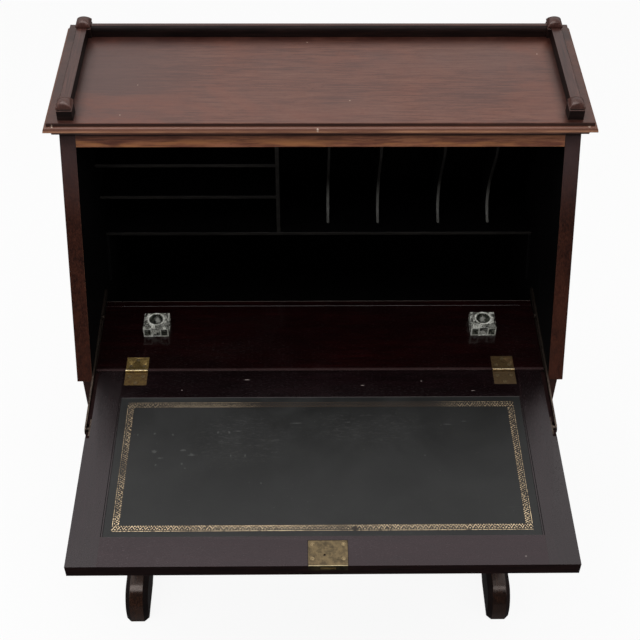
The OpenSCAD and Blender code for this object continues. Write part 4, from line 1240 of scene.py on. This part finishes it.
BLOCK = 6 * MM
BLOCK_RIM = 2.8 * MM
DIAMOND_DEPTH = 2.2 * MM
FLUTE_RIM = 0.8 * MM
FLUTE_DEPTH = 1.6 * MM
GLASS_FOOT = WRITING_Z + 0.6 * MM
WELL_REACH = 12 * MM
RING_R = 13.2 * MM
RING_W = 1.6 * MM
RING_T = 0.5 * MM
RING_LIFT = 0.3 * MM


def outer_sides(bm, centre, reach):
    """Upright faces on an inkwell's outside."""
    found = []
    for face in bm.faces:
        at = face.calc_center_median()
        outward = max(abs(at.x - centre.x) / reach.x, abs(at.y - centre.y) / reach.y)
        if abs(face.normal.z) < 0.1 and outward > 0.75:
            found.append(face)
    return found


def cut_sides(bm, centre, reach):
    """Cuts a sunk diamond in each corner block of an inkwell's sides and a flute between them."""
    planes = [((0, 0, GLASS_FOOT), (0, 0, 1))]
    for offset in (-BLOCK, BLOCK):
        planes.append(((centre.x + offset, 0, 0), RIGHT))
        planes.append(((0, centre.y + offset, 0), BACK))
    for point, normal in planes:
        faces = outer_sides(bm, centre, reach)
        corners = list({v for f in faces for v in f.verts})
        geometry = corners + list({e for f in faces for e in f.edges}) + faces
        bmesh.ops.bisect_plane(bm, geom=geometry, plane_co=point, plane_no=normal, dist=1e-6)
    blocks = []
    flutes = []
    for face in outer_sides(bm, centre, reach):
        at = face.calc_center_median()
        if at.z < GLASS_FOOT:
            continue
        along = at.y - centre.y if abs(face.normal.x) > 0.5 else at.x - centre.x
        (blocks if abs(along) > BLOCK else flutes).append(face)
    bmesh.ops.inset_individual(bm, faces=flutes, thickness=FLUTE_RIM, depth=-FLUTE_DEPTH)
    # The blocks' rims take the painted highlight and their sunk diamonds the painted shade.
    for face in bmesh.ops.inset_individual(bm, faces=blocks, thickness=BLOCK_RIM, depth=0.0)["faces"]:
        face.material_index = 2
    for face in bmesh.ops.poke(bm, faces=blocks, offset=-DIAMOND_DEPTH)["faces"]:
        face.material_index = 1


def make_inkwell(side):
    """Square cut-glass inkwell: cut corner blocks, a fluted middle in each side, a round well."""
    node = f"inkwell_{side}"
    low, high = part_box(node)
    centre = (low + high) / 2
    bm = merged_copy(node)
    cut_sides(bm, centre, (high - low) / 2)
    # Upright faces of the well take the painted shade and glints.
    for face in bm.faces:
        at = face.calc_center_median() - centre
        if abs(face.normal.z) < 0.1 and math.hypot(at.x, at.y) < WELL_REACH:
            face.material_index = 1
    piece = finish_piece(f"cut_glass_inkwell_{side}", bm, "glass", body_at(node), [node], smooth=24,
                         other="glass_well")
    piece.data.materials.append(finishes["glass_ring"])
    round_edges(piece, 0.45 * MM)


def make_inkwell_highlight_ring(side):
    """Painted highlight: a bright ring round an inkwell's well."""
    low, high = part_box(f"inkwell_{side}")
    centre = (low + high) / 2
    bm = bmesh.new()
    rim = bmesh.ops.create_circle(bm, cap_ends=False, segments=32, radius=RING_R)["verts"]
    bmesh.ops.translate(bm, vec=(centre.x, centre.y, high.z), verts=rim)
    inner = only(bmesh.ops.extrude_edge_only(bm, edges=bm.edges)["geom"], BMVert)
    shrink = (RING_R - RING_W) / RING_R
    bmesh.ops.scale(bm, vec=(shrink, shrink, 1), verts=inner,
                    space=Matrix.Translation((-centre.x, -centre.y, 0)))
    bmesh.ops.recalc_face_normals(bm, faces=bm.faces)
    if bm.faces[:][0].normal.z < 0:
        bmesh.ops.reverse_faces(bm, faces=bm.faces)
    bmesh.ops.solidify(bm, geom=bm.faces, thickness=RING_T)
    bmesh.ops.translate(bm, vec=(0, 0, RING_LIFT), verts=bm.verts)
    ring = finish_piece(f"cut_glass_highlight_ring_{side}", bm, "glass_ring", body_at(f"inkwell_{side}"))
    round_edges(ring, 0.2 * MM)


# Base

def make_base():
    """Feet with rounded toes, end panels, stretcher and cleats."""
    for side in ("left", "right"):
        soften(f"foot_{side}", "base_y", 2.5 * MM, 4, 20, other="top_shade", facing=[RIGHT, LEFT])
        soften(f"end_panel_{side}", "base_z", 1.5 * MM, 3)
    soften("stretcher", "base_x", 1 * MM)
    soften("top_cleats", "base_x", 1 * MM)


bpy.context.scene.view_settings.view_transform = "Standard"
place_camera()
light_studio()
lay_floor()
make_top_board()
make_gallery()
make_case()
make_pigeonholes()
make_writing_floor()
make_fall()
make_leather()
make_tooling()
make_hinges()
make_lock()
make_lock_plate_shade_line()
make_lock_plate_edge()
make_stays()
for side in ("left", "right"):
    make_inkwell(side)
    make_inkwell_highlight_ring(side)
make_base()
